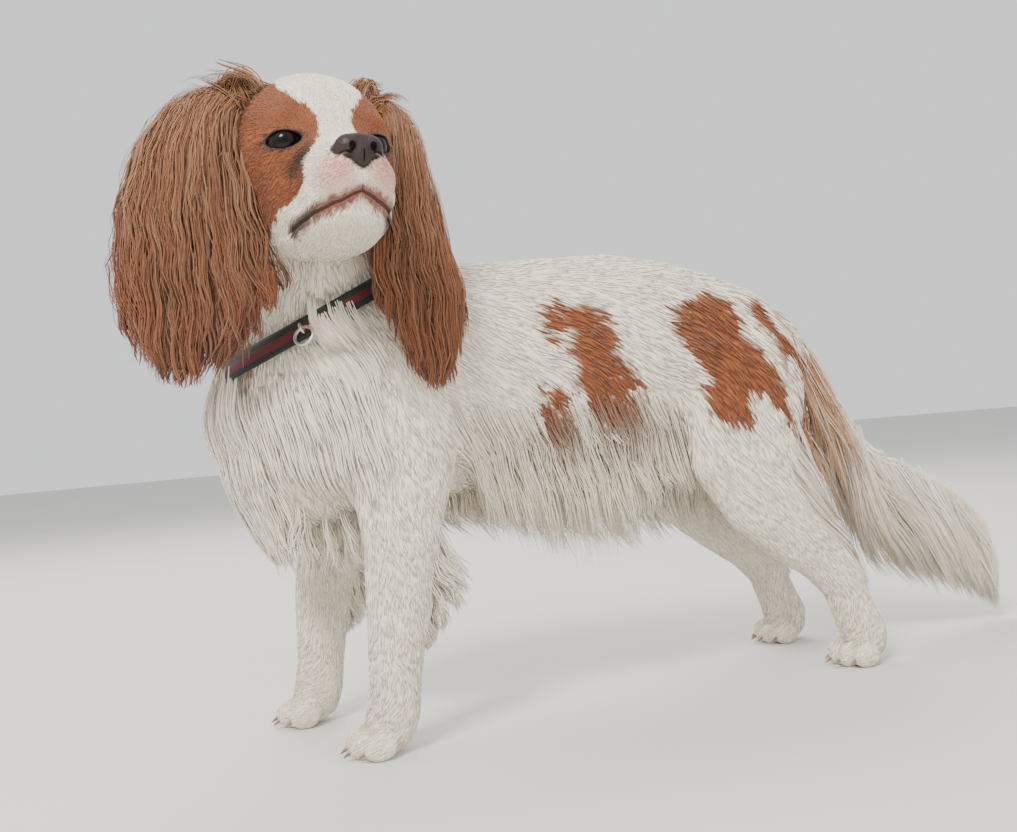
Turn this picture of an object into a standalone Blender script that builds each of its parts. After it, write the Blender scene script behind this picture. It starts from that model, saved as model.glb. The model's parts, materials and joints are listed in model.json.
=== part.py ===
"""A standing Cavalier King Charles spaniel, life size, with its head turned to its left."""

import math
import random

import bmesh
import bpy
from mathutils import Matrix, Vector
from mathutils.bvhtree import BVHTree

# The dog faces -Y, its left side is +X, and its feet stand on Z = 0.
# Every table holds metres, measured from the floor under the back of the withers.
MM = 0.001
GAP = 0.3 * MM
SEED = 11
UP = Vector((0, 0, 1))
DOWN = Vector((0, 0, -1))
LEFT = Vector((1, 0, 0))
BACK = Vector((0, 1, 0))

# Depth by which the soles are trimmed flat.
SOLE_TRIM = 1.2 * MM
# Moves the dog so that the middle of its box stands on the origin.
ORIGIN_SHIFT = Vector((-0.044, -0.133, -SOLE_TRIM))

# How finely the body is fused, and the share of its faces that each region keeps.
BODY_VOXEL = 3.0 * MM
SOFTENING_PASSES = 30
KEEP_ON_HEAD = 0.066
KEEP_ON_FEET = 0.06
KEEP_ON_BODY = 0.0082

# Torso: how far back, height of the section's middle, half width, half height.
TORSO = (
    (-0.164, 0.222, 0.026, 0.034),
    (-0.152, 0.220, 0.046, 0.058),
    (-0.130, 0.222, 0.060, 0.078),
    (-0.100, 0.231, 0.069, 0.088),
    (-0.060, 0.241, 0.073, 0.090),
    (-0.020, 0.244, 0.074, 0.088),
    (0.030, 0.247, 0.074, 0.084),
    (0.080, 0.250, 0.073, 0.083),
    (0.130, 0.253, 0.070, 0.082),
    (0.170, 0.253, 0.065, 0.076),
    (0.210, 0.251, 0.061, 0.068),
    (0.250, 0.245, 0.056, 0.059),
    (0.280, 0.237, 0.046, 0.047),
    (0.298, 0.229, 0.030, 0.031),
)

# Neck: centre, half width, half depth.
NECK = (
    ((0.000, -0.050, 0.235), 0.066, 0.070),
    ((0.002, -0.078, 0.270), 0.057, 0.066),
    ((0.010, -0.098, 0.305), 0.049, 0.054),
    ((0.022, -0.106, 0.340), 0.045, 0.047),
    ((0.036, -0.108, 0.372), 0.042, 0.043),
    ((0.050, -0.108, 0.395), 0.038, 0.038),
)

# Legs of the left side, from the body down: centre, half width, half depth fore and aft.
FORE_LEG = (
    ((0.046, -0.078, 0.245), 0.024, 0.036),
    ((0.052, -0.062, 0.205), 0.027, 0.042),
    ((0.055, -0.058, 0.170), 0.025, 0.037),
    ((0.057, -0.062, 0.135), 0.0215, 0.028),
    ((0.057, -0.067, 0.100), 0.0195, 0.0235),
    ((0.057, -0.071, 0.070), 0.0185, 0.0200),
    ((0.057, -0.074, 0.045), 0.0180, 0.0175),
    ((0.057, -0.077, 0.026), 0.0175, 0.0180),
    ((0.057, -0.080, 0.014), 0.0170, 0.0190),
)
HIND_LEG = (
    ((0.038, 0.240, 0.268), 0.020, 0.036),
    ((0.045, 0.226, 0.235), 0.027, 0.050),
    ((0.050, 0.212, 0.200), 0.029, 0.054),
    ((0.054, 0.208, 0.165), 0.026, 0.048),
    ((0.056, 0.220, 0.135), 0.0225, 0.036),
    ((0.056, 0.243, 0.108), 0.0190, 0.027),
    ((0.056, 0.266, 0.086), 0.0165, 0.0215),
    ((0.056, 0.283, 0.064), 0.0155, 0.0180),
    ((0.056, 0.292, 0.040), 0.0160, 0.0172),
    ((0.056, 0.298, 0.024), 0.0170, 0.0190),
    ((0.056, 0.299, 0.014), 0.0165, 0.0190),
)
# How far each foot stands behind the left one of its pair; the shift grows from the body down.
FORE_STEP = {1: 0.0, -1: -0.028}
HIND_STEP = {1: 0.0, -1: 0.006}
STEP_STARTS = 0.24
STEP_FULL = 0.10

# Feet: middle of the row of toes, spread, radii of a toe, and the flat it stands on.
FORE_TOES = Vector((0.057, -0.094, 0.0))
HIND_TOES = Vector((0.056, 0.284, 0.0))
TOE_SPREAD = 0.0104
TOE_RADII = (0.0068, 0.0120, 0.0098)
TOE_AHEAD = (-0.003, 0.004, 0.004, -0.003)
HEEL_PAD_BEHIND = 0.016
HEEL_PAD_RADII = (0.0125, 0.0125, 0.0105)
CLAW_RADIUS = 1.4 * MM
CLAW_LENGTH = 9.0 * MM

# Tail under its plume: centre, radius.
TAIL = (
    ((0.000, 0.262, 0.262), 0.021),
    ((0.000, 0.292, 0.247), 0.018),
    ((0.000, 0.315, 0.218), 0.0150),
    ((0.000, 0.333, 0.187), 0.0130),
    ((0.000, 0.356, 0.161), 0.0115),
    ((0.000, 0.390, 0.141), 0.0095),
    ((0.000, 0.424, 0.123), 0.0070),
)

# Head, in its own frame: half way between the eyes is 0, and a point is (left, forward, up).
EYES_AT = Vector((0.1062, -0.0986, 0.3843))
HEAD_TURN = math.radians(96.5)
HEAD_LIFT = math.radians(1.4)
# Skull and upper jaw: how far forward, half width, top, bottom.
SKULL = (
    (-0.090, 0.022, 0.032, -0.010),
    (-0.078, 0.038, 0.046, -0.028),
    (-0.058, 0.0490, 0.0530, -0.042),
    (-0.034, 0.0520, 0.0550, -0.048),
    (-0.014, 0.0490, 0.0520, -0.052),
    (0.000, 0.0420, 0.0425, -0.054),
    (0.010, 0.0330, 0.0260, -0.054),
    (0.019, 0.0275, 0.0080, -0.053),
    (0.030, 0.0245, -0.0030, -0.052),
    (0.042, 0.0220, -0.0075, -0.048),
    (0.051, 0.0180, -0.0105, -0.042),
    (0.056, 0.0120, -0.0150, -0.036),
)
# Lower jaw, from the throat to the chin, in the same terms.
JAW = (
    (-0.050, 0.031, -0.035, -0.0600),
    (-0.030, 0.035, -0.035, -0.0650),
    (-0.010, 0.031, -0.040, -0.0660),
    (0.010, 0.0275, -0.042, -0.0655),
    (0.026, 0.0230, -0.041, -0.0635),
    (0.038, 0.0170, -0.040, -0.0600),
    (0.045, 0.0100, -0.040, -0.0545),
)
# Rounded masses on both sides of the head: (left, forward, up) and radii.
HEAD_MASSES = (
    ((0.0260, -0.016, -0.026), (0.0165, 0.030, 0.028)),
    ((0.0105, 0.0390, -0.0320), (0.0145, 0.0165, 0.0155)),
    ((0.0165, 0.0240, -0.0385), (0.0120, 0.0215, 0.0150)),
    ((0.0220, 0.0080, -0.0460), (0.0105, 0.0170, 0.0125)),
    ((0.0258, -0.0010, 0.0000), (0.0140, 0.0124, 0.0140)),
    ((0.0225, -0.0015, 0.0145), (0.0150, 0.0120, 0.0110)),
)
# Soft pushes along the surface's normal, on both sides: (left, forward, up), reach, height.
HEAD_PUSHES = (
    ((0.000, 0.018, 0.009), 0.010, -0.0022),
    ((0.000, -0.008, 0.048), 0.013, -0.0010),
    ((0.025, 0.015, -0.010), 0.009, -0.0016),
    ((0.033, 0.000, 0.015), 0.010, 0.0010),
    ((0.045, -0.020, -0.004), 0.012, -0.0010),
)

EYE_AT = (0.0262, -0.0004, 0.0000)
EYE_RADIUS = 11.2 * MM
EYE_LOOKS_OUT = math.radians(24.0)
LID_THICKNESS = 1.8 * MM
EYE_OPENING = (20.0 * MM, 12.5 * MM)

# Nose leather: (left, forward, up) and radii of its rounded masses; side ones are doubled.
NOSE_MASSES = (
    ((0.0000, 0.0525, -0.0205), (0.0095, 0.0082, 0.0112)),
    ((0.0056, 0.0508, -0.0168), (0.0080, 0.0090, 0.0082)),
    ((0.0000, 0.0480, -0.0135), (0.0122, 0.0102, 0.0056)),
)
NOSTRIL_MASSES = (
    ((0.0060, 0.0605, -0.0180), (0.0022, 0.0050, 0.0030)),
    ((0.0092, 0.0580, -0.0212), (0.0034, 0.0046, 0.0012)),
)
MOUTH_LINE_RADIUS = 1.0 * MM
MOUTH_HALF_WIDTH = 0.0315
LIP_SPLIT_RADIUS = 0.6 * MM

# Cuts between nodes: centre, normal, radius.
HEAD_CUT = (Vector((0.0460, -0.1060, 0.3370)), Vector((-0.49, -0.078, -0.866)), 0.100)
NECK_CUT = (Vector((0.004, -0.0870, 0.2800)), Vector((0.03, -0.500, 0.866)), 0.125)
TAIL_CUT = (Vector((0.000, 0.306, 0.228)), Vector((0.0, 1.0, -0.3)), 0.048)

# A point inside each piece that the cuts leave, and the area under which a piece is scrap.
TRUNK_MARKS = {
    "head": EYES_AT,
    "neck": Vector(NECK[3][0]),
    "tail": Vector((0.000, 0.370, 0.120)),
    "torso": Vector((0.000, 0.060, 0.240)),
}
SCRAP_AREA = 0.002

# Space that a leg takes from the body, from above down: centre, half width, half depth.
FORE_SPACE = (
    ((0.060, -0.080, 0.266), 0.012, 0.018),
    ((0.060, -0.078, 0.254), 0.034, 0.044),
    ((0.060, -0.064, 0.205), 0.036, 0.053),
    ((0.058, -0.056, 0.170), 0.036, 0.056),
    ((0.057, -0.052, 0.135), 0.034, 0.064),
    ((0.057, -0.052, 0.100), 0.034, 0.068),
    ((0.057, -0.062, 0.060), 0.036, 0.066),
    ((0.057, -0.085, -0.030), 0.036, 0.066),
)
HIND_SPACE = (
    ((0.052, 0.244, 0.288), 0.012, 0.018),
    ((0.056, 0.240, 0.274), 0.032, 0.040),
    ((0.058, 0.226, 0.235), 0.038, 0.062),
    ((0.058, 0.218, 0.200), 0.038, 0.072),
    ((0.058, 0.222, 0.165), 0.037, 0.078),
    ((0.058, 0.245, 0.130), 0.036, 0.080),
    ((0.057, 0.262, 0.100), 0.036, 0.075),
    ((0.057, 0.280, 0.060), 0.037, 0.068),
    ((0.057, 0.290, -0.030), 0.037, 0.068),
)

# Long coat: the whole reach of each form, whose inner share is solid under the locks.
CORE_SHARE = 0.42
# Bib, from above down: centre, half width, half depth.
BIB = (
    ((0.000, -0.150, 0.266), 0.036, 0.018),
    ((0.000, -0.150, 0.232), 0.045, 0.026),
    ((0.000, -0.142, 0.195), 0.042, 0.026),
    ((0.000, -0.136, 0.165), 0.032, 0.021),
    ((0.000, -0.130, 0.136), 0.018, 0.012),
    ((0.000, -0.126, 0.124), 0.006, 0.005),
)
BIB_CORE_ENDS = 4
# Belly fringe: how far back, height of its middle, half width, half height.
BELLY_FRINGE = (
    (-0.040, 0.160, 0.016, 0.012),
    (-0.010, 0.154, 0.022, 0.022),
    (0.030, 0.152, 0.024, 0.025),
    (0.070, 0.148, 0.023, 0.032),
    (0.110, 0.142, 0.020, 0.038),
    (0.150, 0.142, 0.017, 0.040),
    (0.185, 0.144, 0.015, 0.040),
    (0.205, 0.152, 0.012, 0.030),
    (0.215, 0.162, 0.006, 0.014),
)
# Fins of long coat in a plane fore and aft: one edge, other edge, half thickness.
FEATHER = (
    ((-0.055, 0.168), (-0.036, 0.160), 0.005),
    ((-0.056, 0.145), (-0.021, 0.137), 0.009),
    ((-0.060, 0.120), (-0.010, 0.111), 0.009),
    ((-0.064, 0.098), (-0.017, 0.091), 0.008),
    ((-0.068, 0.078), (-0.036, 0.070), 0.006),
    ((-0.068, 0.066), (-0.050, 0.062), 0.004),
)
TROUSERS = (
    ((0.232, 0.228), (0.262, 0.214), 0.010),
    ((0.228, 0.198), (0.266, 0.184), 0.014),
    ((0.230, 0.165), (0.276, 0.147), 0.015),
    ((0.245, 0.130), (0.288, 0.112), 0.013),
    ((0.265, 0.104), (0.299, 0.084), 0.011),
    ((0.281, 0.080), (0.308, 0.062), 0.009),
    ((0.288, 0.062), (0.306, 0.054), 0.006),
)
PLUME = (
    ((0.316, 0.226), (0.314, 0.186), 0.010),
    ((0.328, 0.208), (0.321, 0.138), 0.014),
    ((0.347, 0.180), (0.336, 0.092), 0.016),
    ((0.362, 0.160), (0.356, 0.058), 0.016),
    ((0.410, 0.138), (0.392, 0.038), 0.015),
    ((0.450, 0.114), (0.428, 0.026), 0.013),
    ((0.480, 0.082), (0.462, 0.016), 0.010),
    ((0.492, 0.050), (0.486, 0.010), 0.006),
)

# Collar: the middle of its loop, its lie, the band's width and thickness, and its stand-off.
COLLAR_AT = Vector((0.0045, -0.0930, 0.2935))
COLLAR_LIE = Vector((0.05, -0.450, 0.890)).normalized()
BAND_WIDTH = 13.0 * MM
BAND_THICKNESS = 2.4 * MM
BAND_OFF = 1.4 * MM
# Ring that hangs from the collar, and the eye that carries it.
RING_TURN = math.radians(64.0)
RING_RADIUS = 6.5 * MM
RING_WIRE = 1.1 * MM
LOOP_RADIUS = 3.0 * MM
LOOP_WIRE = 1.0 * MM

# Ears: three guide lines from the root down, inner edge, middle and outer edge.
EAR_GUIDES = {
    -1: (
        (
            (0.082, -0.146, 0.416),
            (0.088, -0.152, 0.400),
            (0.089, -0.152, 0.372),
            (0.088, -0.148, 0.335),
            (0.087, -0.142, 0.300),
            (0.083, -0.147, 0.270),
        ),
        (
            (0.068, -0.153, 0.428),
            (0.077, -0.170, 0.420),
            (0.080, -0.186, 0.380),
            (0.076, -0.190, 0.335),
            (0.073, -0.188, 0.290),
            (0.068, -0.190, 0.244),
        ),
        (
            (0.052, -0.153, 0.426),
            (0.060, -0.178, 0.424),
            (0.064, -0.207, 0.395),
            (0.059, -0.222, 0.350),
            (0.056, -0.226, 0.305),
            (0.056, -0.219, 0.266),
        ),
    ),
    1: (
        (
            (0.071, -0.056, 0.416),
            (0.078, -0.058, 0.398),
            (0.083, -0.066, 0.366),
            (0.082, -0.065, 0.330),
            (0.082, -0.063, 0.295),
            (0.082, -0.058, 0.262),
        ),
        (
            (0.058, -0.053, 0.428),
            (0.068, -0.040, 0.414),
            (0.080, -0.041, 0.372),
            (0.085, -0.040, 0.328),
            (0.089, -0.037, 0.280),
            (0.089, -0.040, 0.230),
        ),
        (
            (0.042, -0.056, 0.426),
            (0.052, -0.034, 0.416),
            (0.066, -0.024, 0.376),
            (0.078, -0.022, 0.330),
            (0.088, -0.016, 0.285),
            (0.089, -0.024, 0.250),
        ),
    ),
}
# Where an ear leaves the head, in the head's terms, and the half thickness along the ear.
EAR_ROOT = (0.034, -0.047, 0.028)
EAR_THICKNESS = (0.0075, 0.0085, 0.0085, 0.0080, 0.0070, 0.0040)
EAR_CORE_ROWS = 3

# Locks: sides of a section, and its size along the lock as a share of the widest.
LOCK_SIZES = (0.85, 1.0, 0.86, 0.52)
LOCK_STOPS = (0.0, 0.30, 0.58, 0.82)
LOCK_WAVE = 2.2 * MM
LOCK_CLEARANCE = 0.5 * MM
NEAR = 12 * MM
RAY = Vector((0.8, 0.36, 0.48))
FLOOR_CLEARANCE = 2.0 * MM
# Faces this near another node keep their places.
SEAM_KEPT = 3 * MM
# Most triangles of a node once its locks are joined.
MOST_ON_TORSO = 3300
MOST_ON_TAIL = 1500
MOST_ON_LEG = 1180
MOST_ON_EAR = 1200


# Colour, roughness and metallic value of each node's material.
WHITE_COAT = ((0.80, 0.76, 0.68), 0.80, 0.0)
CHESTNUT_COAT = ((0.38, 0.15, 0.055), 0.75, 0.0)
FINISHES = {
    "head": CHESTNUT_COAT,
    "neck": WHITE_COAT,
    "torso": WHITE_COAT,
    "tail": WHITE_COAT,
    "leg_front_left": WHITE_COAT,
    "leg_front_right": WHITE_COAT,
    "leg_hind_left": WHITE_COAT,
    "leg_hind_right": WHITE_COAT,
    "ear_left": CHESTNUT_COAT,
    "ear_right": CHESTNUT_COAT,
    "eye_left": ((0.018, 0.010, 0.008), 0.08, 0.0),
    "eye_right": ((0.018, 0.010, 0.008), 0.08, 0.0),
    "nose": ((0.060, 0.036, 0.034), 0.45, 0.0),
    "collar": ((0.090, 0.012, 0.014), 0.70, 0.0),
    "collar_ring": ((0.62, 0.58, 0.50), 0.25, 1.0),
}


def clear_scene():
    for old in list(bpy.data.objects):
        bpy.data.objects.remove(old)


def collection(name):
    made = bpy.data.collections.new(name)
    bpy.context.scene.collection.children.link(made)
    return made


def evaluated_mesh(obj):
    graph = bpy.context.evaluated_depsgraph_get()
    return bpy.data.meshes.new_from_object(obj.evaluated_get(graph))


def mesh_from(bm, name="piece"):
    bmesh.ops.recalc_face_normals(bm, faces=bm.faces)
    mesh = bpy.data.meshes.new(name)
    bmesh.ops.triangulate(bm, faces=bm.faces)
    bm.to_mesh(mesh)
    bm.free()
    return mesh


def with_modifier(mesh, kind, **settings):
    """The mesh as one modifier leaves it."""
    holder = bpy.data.objects.new("holder", mesh)
    bpy.context.scene.collection.objects.link(holder)
    group = settings.pop("group", None)
    modifier = holder.modifiers.new("work", kind)
    for name, value in settings.items():
        setattr(modifier, name, value)
    if group:
        weights = holder.vertex_groups.new(name="share")
        for vertex in mesh.vertices:
            weights.add((vertex.index,), group(vertex.co), "REPLACE")
        modifier.vertex_group = "share"
    made = evaluated_mesh(holder)
    bpy.data.objects.remove(holder)
    return made


def fused(mesh, voxel):
    return with_modifier(mesh, "REMESH", mode="VOXEL", voxel_size=voxel)


def softened(mesh, passes, group=None, factor=0.5):
    return with_modifier(mesh, "SMOOTH", factor=factor, iterations=passes, group=group)


def reduced(mesh, share):
    return with_modifier(mesh, "DECIMATE", ratio=share)


def grown(mesh, by):
    return with_modifier(mesh, "DISPLACE", strength=by, mid_level=0.0)


def boolean(mesh, others, operation):
    """Joins, cuts or intersects a mesh with other meshes, all in one go."""
    helpers = bpy.data.collections.new("helpers")
    for other in others:
        helpers.objects.link(bpy.data.objects.new("helper", other))
    bpy.context.scene.collection.children.link(helpers)
    made = with_modifier(
        mesh,
        "BOOLEAN",
        operation=operation,
        operand_type="COLLECTION",
        collection=helpers,
        solver="MANIFOLD",
    )
    for helper in list(helpers.objects):
        bpy.data.objects.remove(helper)
    bpy.data.collections.remove(helpers)
    return made


def shells_of(bm):
    """The closed surfaces of a mesh, each as a list of faces."""
    unseen = set(bm.faces)
    shells = []
    while unseen:
        stack = [unseen.pop()]
        shell = []
        while stack:
            face = stack.pop()
            shell.append(face)
            for edge in face.edges:
                for beside in edge.link_faces:
                    if beside in unseen:
                        unseen.discard(beside)
                        stack.append(beside)
        shells.append(shell)
    return shells


def mesh_of_shell(shell, name):
    bm = bmesh.new()
    corners = {}
    for face in shell:
        row = []
        for vertex in face.verts:
            if vertex not in corners:
                corners[vertex] = bm.verts.new(vertex.co)
            row.append(corners[vertex])
        bm.faces.new(row)
    mesh = bpy.data.meshes.new(name)
    bm.to_mesh(mesh)
    bm.free()
    return mesh


def area(shell):
    return sum(face.calc_area() for face in shell)


def largest_piece(mesh):
    """Drops every closed surface but the largest, and with it any sealed hollow."""
    bm = bmesh.new()
    bm.from_mesh(mesh)
    made = mesh_of_shell(max(shells_of(bm), key=area), mesh.name)
    bm.free()
    return made


def parted(mesh, marks):
    """The closed pieces of a mesh, each named by the mark that lies nearest to its middle."""
    bm = bmesh.new()
    bm.from_mesh(mesh)
    shells = [shell for shell in shells_of(bm) if area(shell) > SCRAP_AREA]
    found = {}
    for name, mark in marks.items():

        def off(shell, mark=mark):
            middle = sum((face.calc_center_median() for face in shell), Vector()) / len(shell)
            return (middle - mark).length

        found[name] = mesh_of_shell(min(shells, key=off), name)
    bm.free()
    return found


def tree_of(mesh):
    bm = bmesh.new()
    bm.from_mesh(mesh)
    tree = BVHTree.FromBMesh(bm)
    bm.free()
    return tree


def ring(centre, across, along, half_across, half_along, sides):
    """Points of an ellipse round a centre."""
    turns = [2 * math.pi * step / sides for step in range(sides)]
    return [
        centre + across * (half_across * math.cos(t)) + along * (half_along * math.sin(t))
        for t in turns
    ]


def loft(bm, rings):
    """Bridges closed rings of points and caps both ends."""
    rows = [[bm.verts.new(point) for point in points] for points in rings]
    for first, second in zip(rows, rows[1:]):
        for i in range(len(first)):
            j = (i + 1) % len(first)
            bm.faces.new((first[i], first[j], second[j], second[i]))
    bm.faces.new(rows[0][::-1])
    bm.faces.new(rows[-1])


def ball(bm, centre, radii, place=None, segments=20):
    """An ellipsoid with its radii along the axes of place."""
    size = Matrix.Diagonal((*radii, 1.0))
    bmesh.ops.create_uvsphere(
        bm,
        u_segments=segments,
        v_segments=segments // 2,
        radius=1.0,
        matrix=(place or Matrix()) @ Matrix.Translation(centre) @ size,
    )


def tube_rings(stations, sides=20):
    """Rings along a limb: stations are (centre, half width along X, half depth)."""
    centres = [Vector(station[0]) for station in stations]
    rings = []
    for i, station in enumerate(stations):
        before = centres[max(i - 1, 0)]
        after = centres[min(i + 1, len(centres) - 1)]
        along = (after - before).normalized()
        depth = along.cross(LEFT).normalized()
        across = depth.cross(along).normalized()
        rings.append(ring(centres[i], across, depth, station[1], station[-1], sides))
    return rings


def leg_stations(stations, side, step):
    """A leg of one side, its lower part moved back by the step."""
    made = []
    for (out, back, height), wide, deep in stations:
        share = min(1.0, max(0.0, (STEP_STARTS - height) / (STEP_STARTS - STEP_FULL)))
        made.append(((side * out, back + step * share, height), wide, deep))
    return made


def head_place():
    """Matrix from the head's own frame to the dog's."""
    turned = Matrix.Rotation(HEAD_TURN, 4, "Z") @ Matrix.Rotation(-HEAD_LIFT, 4, "X")
    return Matrix.Translation(EYES_AT) @ turned


def in_head(left, forward, up):
    return Vector((left, -forward, up))


def head_sections(bm, sections):
    place = head_place()
    rings = []
    for forward, half_width, top, bottom in sections:
        centre = in_head(0, forward, (top + bottom) / 2)
        points = ring(centre, LEFT, UP, half_width, (top - bottom) / 2, 28)
        rings.append([place @ point for point in points])
    loft(bm, rings)


def add_masses(bm, masses, segments=20):
    """Ellipsoids on both sides of the head, or one where it lies in the middle."""
    for (left, forward, up), radii in masses:
        for side in (1, -1) if left else (1,):
            ball(bm, in_head(side * left, forward, up), radii, head_place(), segments)


def fin(bm, pairs, out=0.0, step=0.0):
    """The solid inner share of a flat form between two edges in a plane fore and aft."""
    rings = []
    for (y, z), (other_y, other_z), half_thick in pairs:
        edge = Vector((out, y + step, z))
        other = Vector((out, other_y + step, other_z))
        half = (other - edge) * CORE_SHARE / 2
        middle = edge + half
        rings.append(ring(middle, LEFT, half.normalized(), half_thick, half.length, 16))
    loft(bm, rings)


def toe_centres(toes_at, side, step):
    for number, ahead in enumerate(TOE_AHEAD):
        out = (number - 1.5) * TOE_SPREAD
        yield Vector(
            (side * toes_at.x + out, toes_at.y + step - ahead, TOE_RADII[2] * 0.96)
        )


def claw(centre, radii):
    """A short bent cone that leaves the front of a toe."""
    bm = bmesh.new()
    rings = []
    for share, size in ((0.0, 1.0), (0.5, 0.8), (0.85, 0.45), (1.0, 0.12)):
        ahead = radii[1] * 0.55 + CLAW_LENGTH * share
        drop = CLAW_LENGTH * 0.45 * share * share
        middle = centre + Vector((0, -ahead, -radii[2] * 0.12 - drop))
        rings.append(ring(middle, LEFT, UP, CLAW_RADIUS * size, CLAW_RADIUS * size, 6))
    loft(bm, rings)
    return mesh_from(bm)


def whole_body():
    """The dog without its long hair, ears, eyes and nose leather, as one closed surface."""
    bm = bmesh.new()
    rings = [ring(Vector((0, y, z)), LEFT, UP, w, h, 28) for y, z, w, h in TORSO]
    loft(bm, rings)
    loft(bm, tube_rings(NECK, 24))
    loft(bm, tube_rings(TAIL, 14))
    head_sections(bm, SKULL)
    head_sections(bm, JAW)
    add_masses(bm, HEAD_MASSES)
    bib = [(centre, wide * 0.85, deep * 0.7) for centre, wide, deep in BIB[:BIB_CORE_ENDS]]
    loft(bm, tube_rings(bib, 24))
    belly = []
    for y, z, wide, tall in BELLY_FRINGE:
        core = tall * CORE_SHARE
        belly.append(ring(Vector((0, y, z + tall - core)), LEFT, UP, wide, core, 20))
    loft(bm, belly)
    fin(bm, PLUME)
    for side in (1, -1):
        fin(bm, FEATHER, side * FORE_TOES.x, FORE_STEP[side])
        fin(bm, TROUSERS, side * HIND_TOES.x, HIND_STEP[side])
        loft(bm, tube_rings(leg_stations(FORE_LEG, side, FORE_STEP[side])))
        loft(bm, tube_rings(leg_stations(HIND_LEG, side, HIND_STEP[side])))
        for toes_at, step in ((FORE_TOES, FORE_STEP[side]), (HIND_TOES, HIND_STEP[side])):
            toes = list(toe_centres(toes_at, side, step))
            for centre in toes:
                ball(bm, centre, TOE_RADII, segments=12)
            heel = (toes[1] + toes[2]) / 2 + BACK * HEEL_PAD_BEHIND
            ball(bm, heel, HEEL_PAD_RADII, segments=14)
    return mesh_from(bm)


def softness(point):
    """How much the surface is smoothed: fully on the trunk, little on head and feet."""
    from_head = (point - EYES_AT).length
    if from_head < 0.10:
        return 0.10
    if point.z < 0.045:
        return 0.10
    height_share = min(1.0, max(0.12, (point.z - 0.10) / 0.06))
    tail_share = 0.2 if point.y > 0.31 else 1.0
    return min(height_share, tail_share, 0.10 + (from_head - 0.10) / 0.05)


def push_head(mesh):
    """Hollows and swells the face softly at its landmarks."""
    place = head_place()
    moves = [Vector() for _ in mesh.vertices]
    for (left, forward, up), reach, height in HEAD_PUSHES:
        for side in (1, -1) if left else (1,):
            centre = place @ in_head(side * left, forward, up)
            for vertex in mesh.vertices:
                distance = (vertex.co - centre).length
                if distance < 3 * reach:
                    share = math.exp(-((distance / reach) ** 2))
                    moves[vertex.index] += vertex.normal * (height * share)
    for vertex, move in zip(mesh.vertices, moves):
        vertex.co += move
    mesh.update()


def thin_where(mesh, chosen, keep):
    """Keeps a share of the faces whose corners are all chosen, and all the others."""
    mesh = mesh.copy()
    holder = bpy.data.objects.new("holder", mesh)
    bpy.context.scene.collection.objects.link(holder)
    bpy.context.view_layer.objects.active = holder
    bpy.ops.object.mode_set(mode="EDIT")
    bm = bmesh.from_edit_mesh(mesh)
    for face in bm.faces:
        face.select_set(all(chosen(corner.co) for corner in face.verts))
    bmesh.update_edit_mesh(mesh)
    bpy.ops.mesh.decimate(ratio=keep)
    bpy.ops.object.mode_set(mode="OBJECT")
    bpy.data.objects.remove(holder)
    return mesh


def thin_faces(mesh):
    """Keeps fewer faces on the trunk than on the head and feet."""
    regions = (
        (lambda p: (p - EYES_AT).length < 0.105 and p.z > 0.30, KEEP_ON_HEAD),
        (lambda p: p.z < 0.045, KEEP_ON_FEET),
        (lambda p: (p - EYES_AT).length >= 0.105 and p.z >= 0.045, KEEP_ON_BODY),
    )
    for chosen, keep in regions:
        mesh = thin_where(mesh, chosen, keep)
    return mesh


def disc(centre, normal, radius, thickness):
    bm = bmesh.new()
    turn = normal.to_track_quat("Z", "Y").to_matrix().to_4x4()
    bmesh.ops.create_cone(
        bm,
        cap_ends=True,
        segments=32,
        radius1=radius,
        radius2=radius,
        depth=thickness,
        matrix=Matrix.Translation(centre) @ turn,
    )
    return mesh_from(bm)


def leg_space(stations, side, step, spare=0.0):
    """The room that a leg takes from the body, or that room with some to spare."""
    bm = bmesh.new()
    rows = leg_stations(stations, side, step)
    rows = [(centre, wide + spare, deep + spare) for centre, wide, deep in rows]
    top, wide, deep = rows[0]
    rows[0] = (Vector(top) + UP * spare, wide, deep)
    loft(bm, tube_rings(rows, 24))
    return mesh_from(bm)


def flat_soles(mesh):
    """Trims the feet to one level, so that the dog stands on small flats."""
    bm = bmesh.new()
    bmesh.ops.create_cube(
        bm, size=1.0, matrix=Matrix.Translation((0, 0, -0.5 + SOLE_TRIM))
    )
    return boolean(mesh, [mesh_from(bm)], "DIFFERENCE")


def almond(place, side):
    """Prism that opens the lids in front of one eye."""
    bm = bmesh.new()
    half_wide, half_tall = EYE_OPENING[0] / 2, EYE_OPENING[1] / 2
    rings = []
    for reach in (0.004, 0.030):
        points = []
        for step in range(16):
            turn = 2 * math.pi * step / 16
            tall = half_tall * math.sin(turn)
            points.append(Vector((half_wide * math.cos(turn), -reach, tall)))
        rings.append([place @ point for point in points])
    loft(bm, rings)
    return mesh_from(bm)


def eye_place(side):
    """Frame of one eye, looking along its own -Y."""
    left, forward, up = EYE_AT
    turn = Matrix.Rotation(side * EYE_LOOKS_OUT, 4, "Z")
    return head_place() @ Matrix.Translation(in_head(side * left, forward, up)) @ turn


def eye_ball(side, radius, segments=18):
    bm = bmesh.new()
    ball(bm, Vector(), (radius,) * 3, eye_place(side), segments)
    return mesh_from(bm)


def tube(points, radius, sides=8):
    """A closed round tube through points, its ends drawn in."""
    bm = bmesh.new()
    rings = []
    for i, point in enumerate(points):
        along = (points[min(i + 1, len(points) - 1)] - points[max(i - 1, 0)]).normalized()
        across = along.cross(UP if abs(along.z) < 0.9 else LEFT).normalized()
        size = radius * (0.5 if i in (0, len(points) - 1) else 1.0)
        rings.append(ring(point, across, along.cross(across), size, size, sides))
    loft(bm, rings)
    return mesh_from(bm)


def on_surface(tree, points, lift=0.0):
    found = []
    for point in points:
        spot, normal, _, _ = tree.find_nearest(point)
        found.append(spot + normal * lift)
    return found


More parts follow.
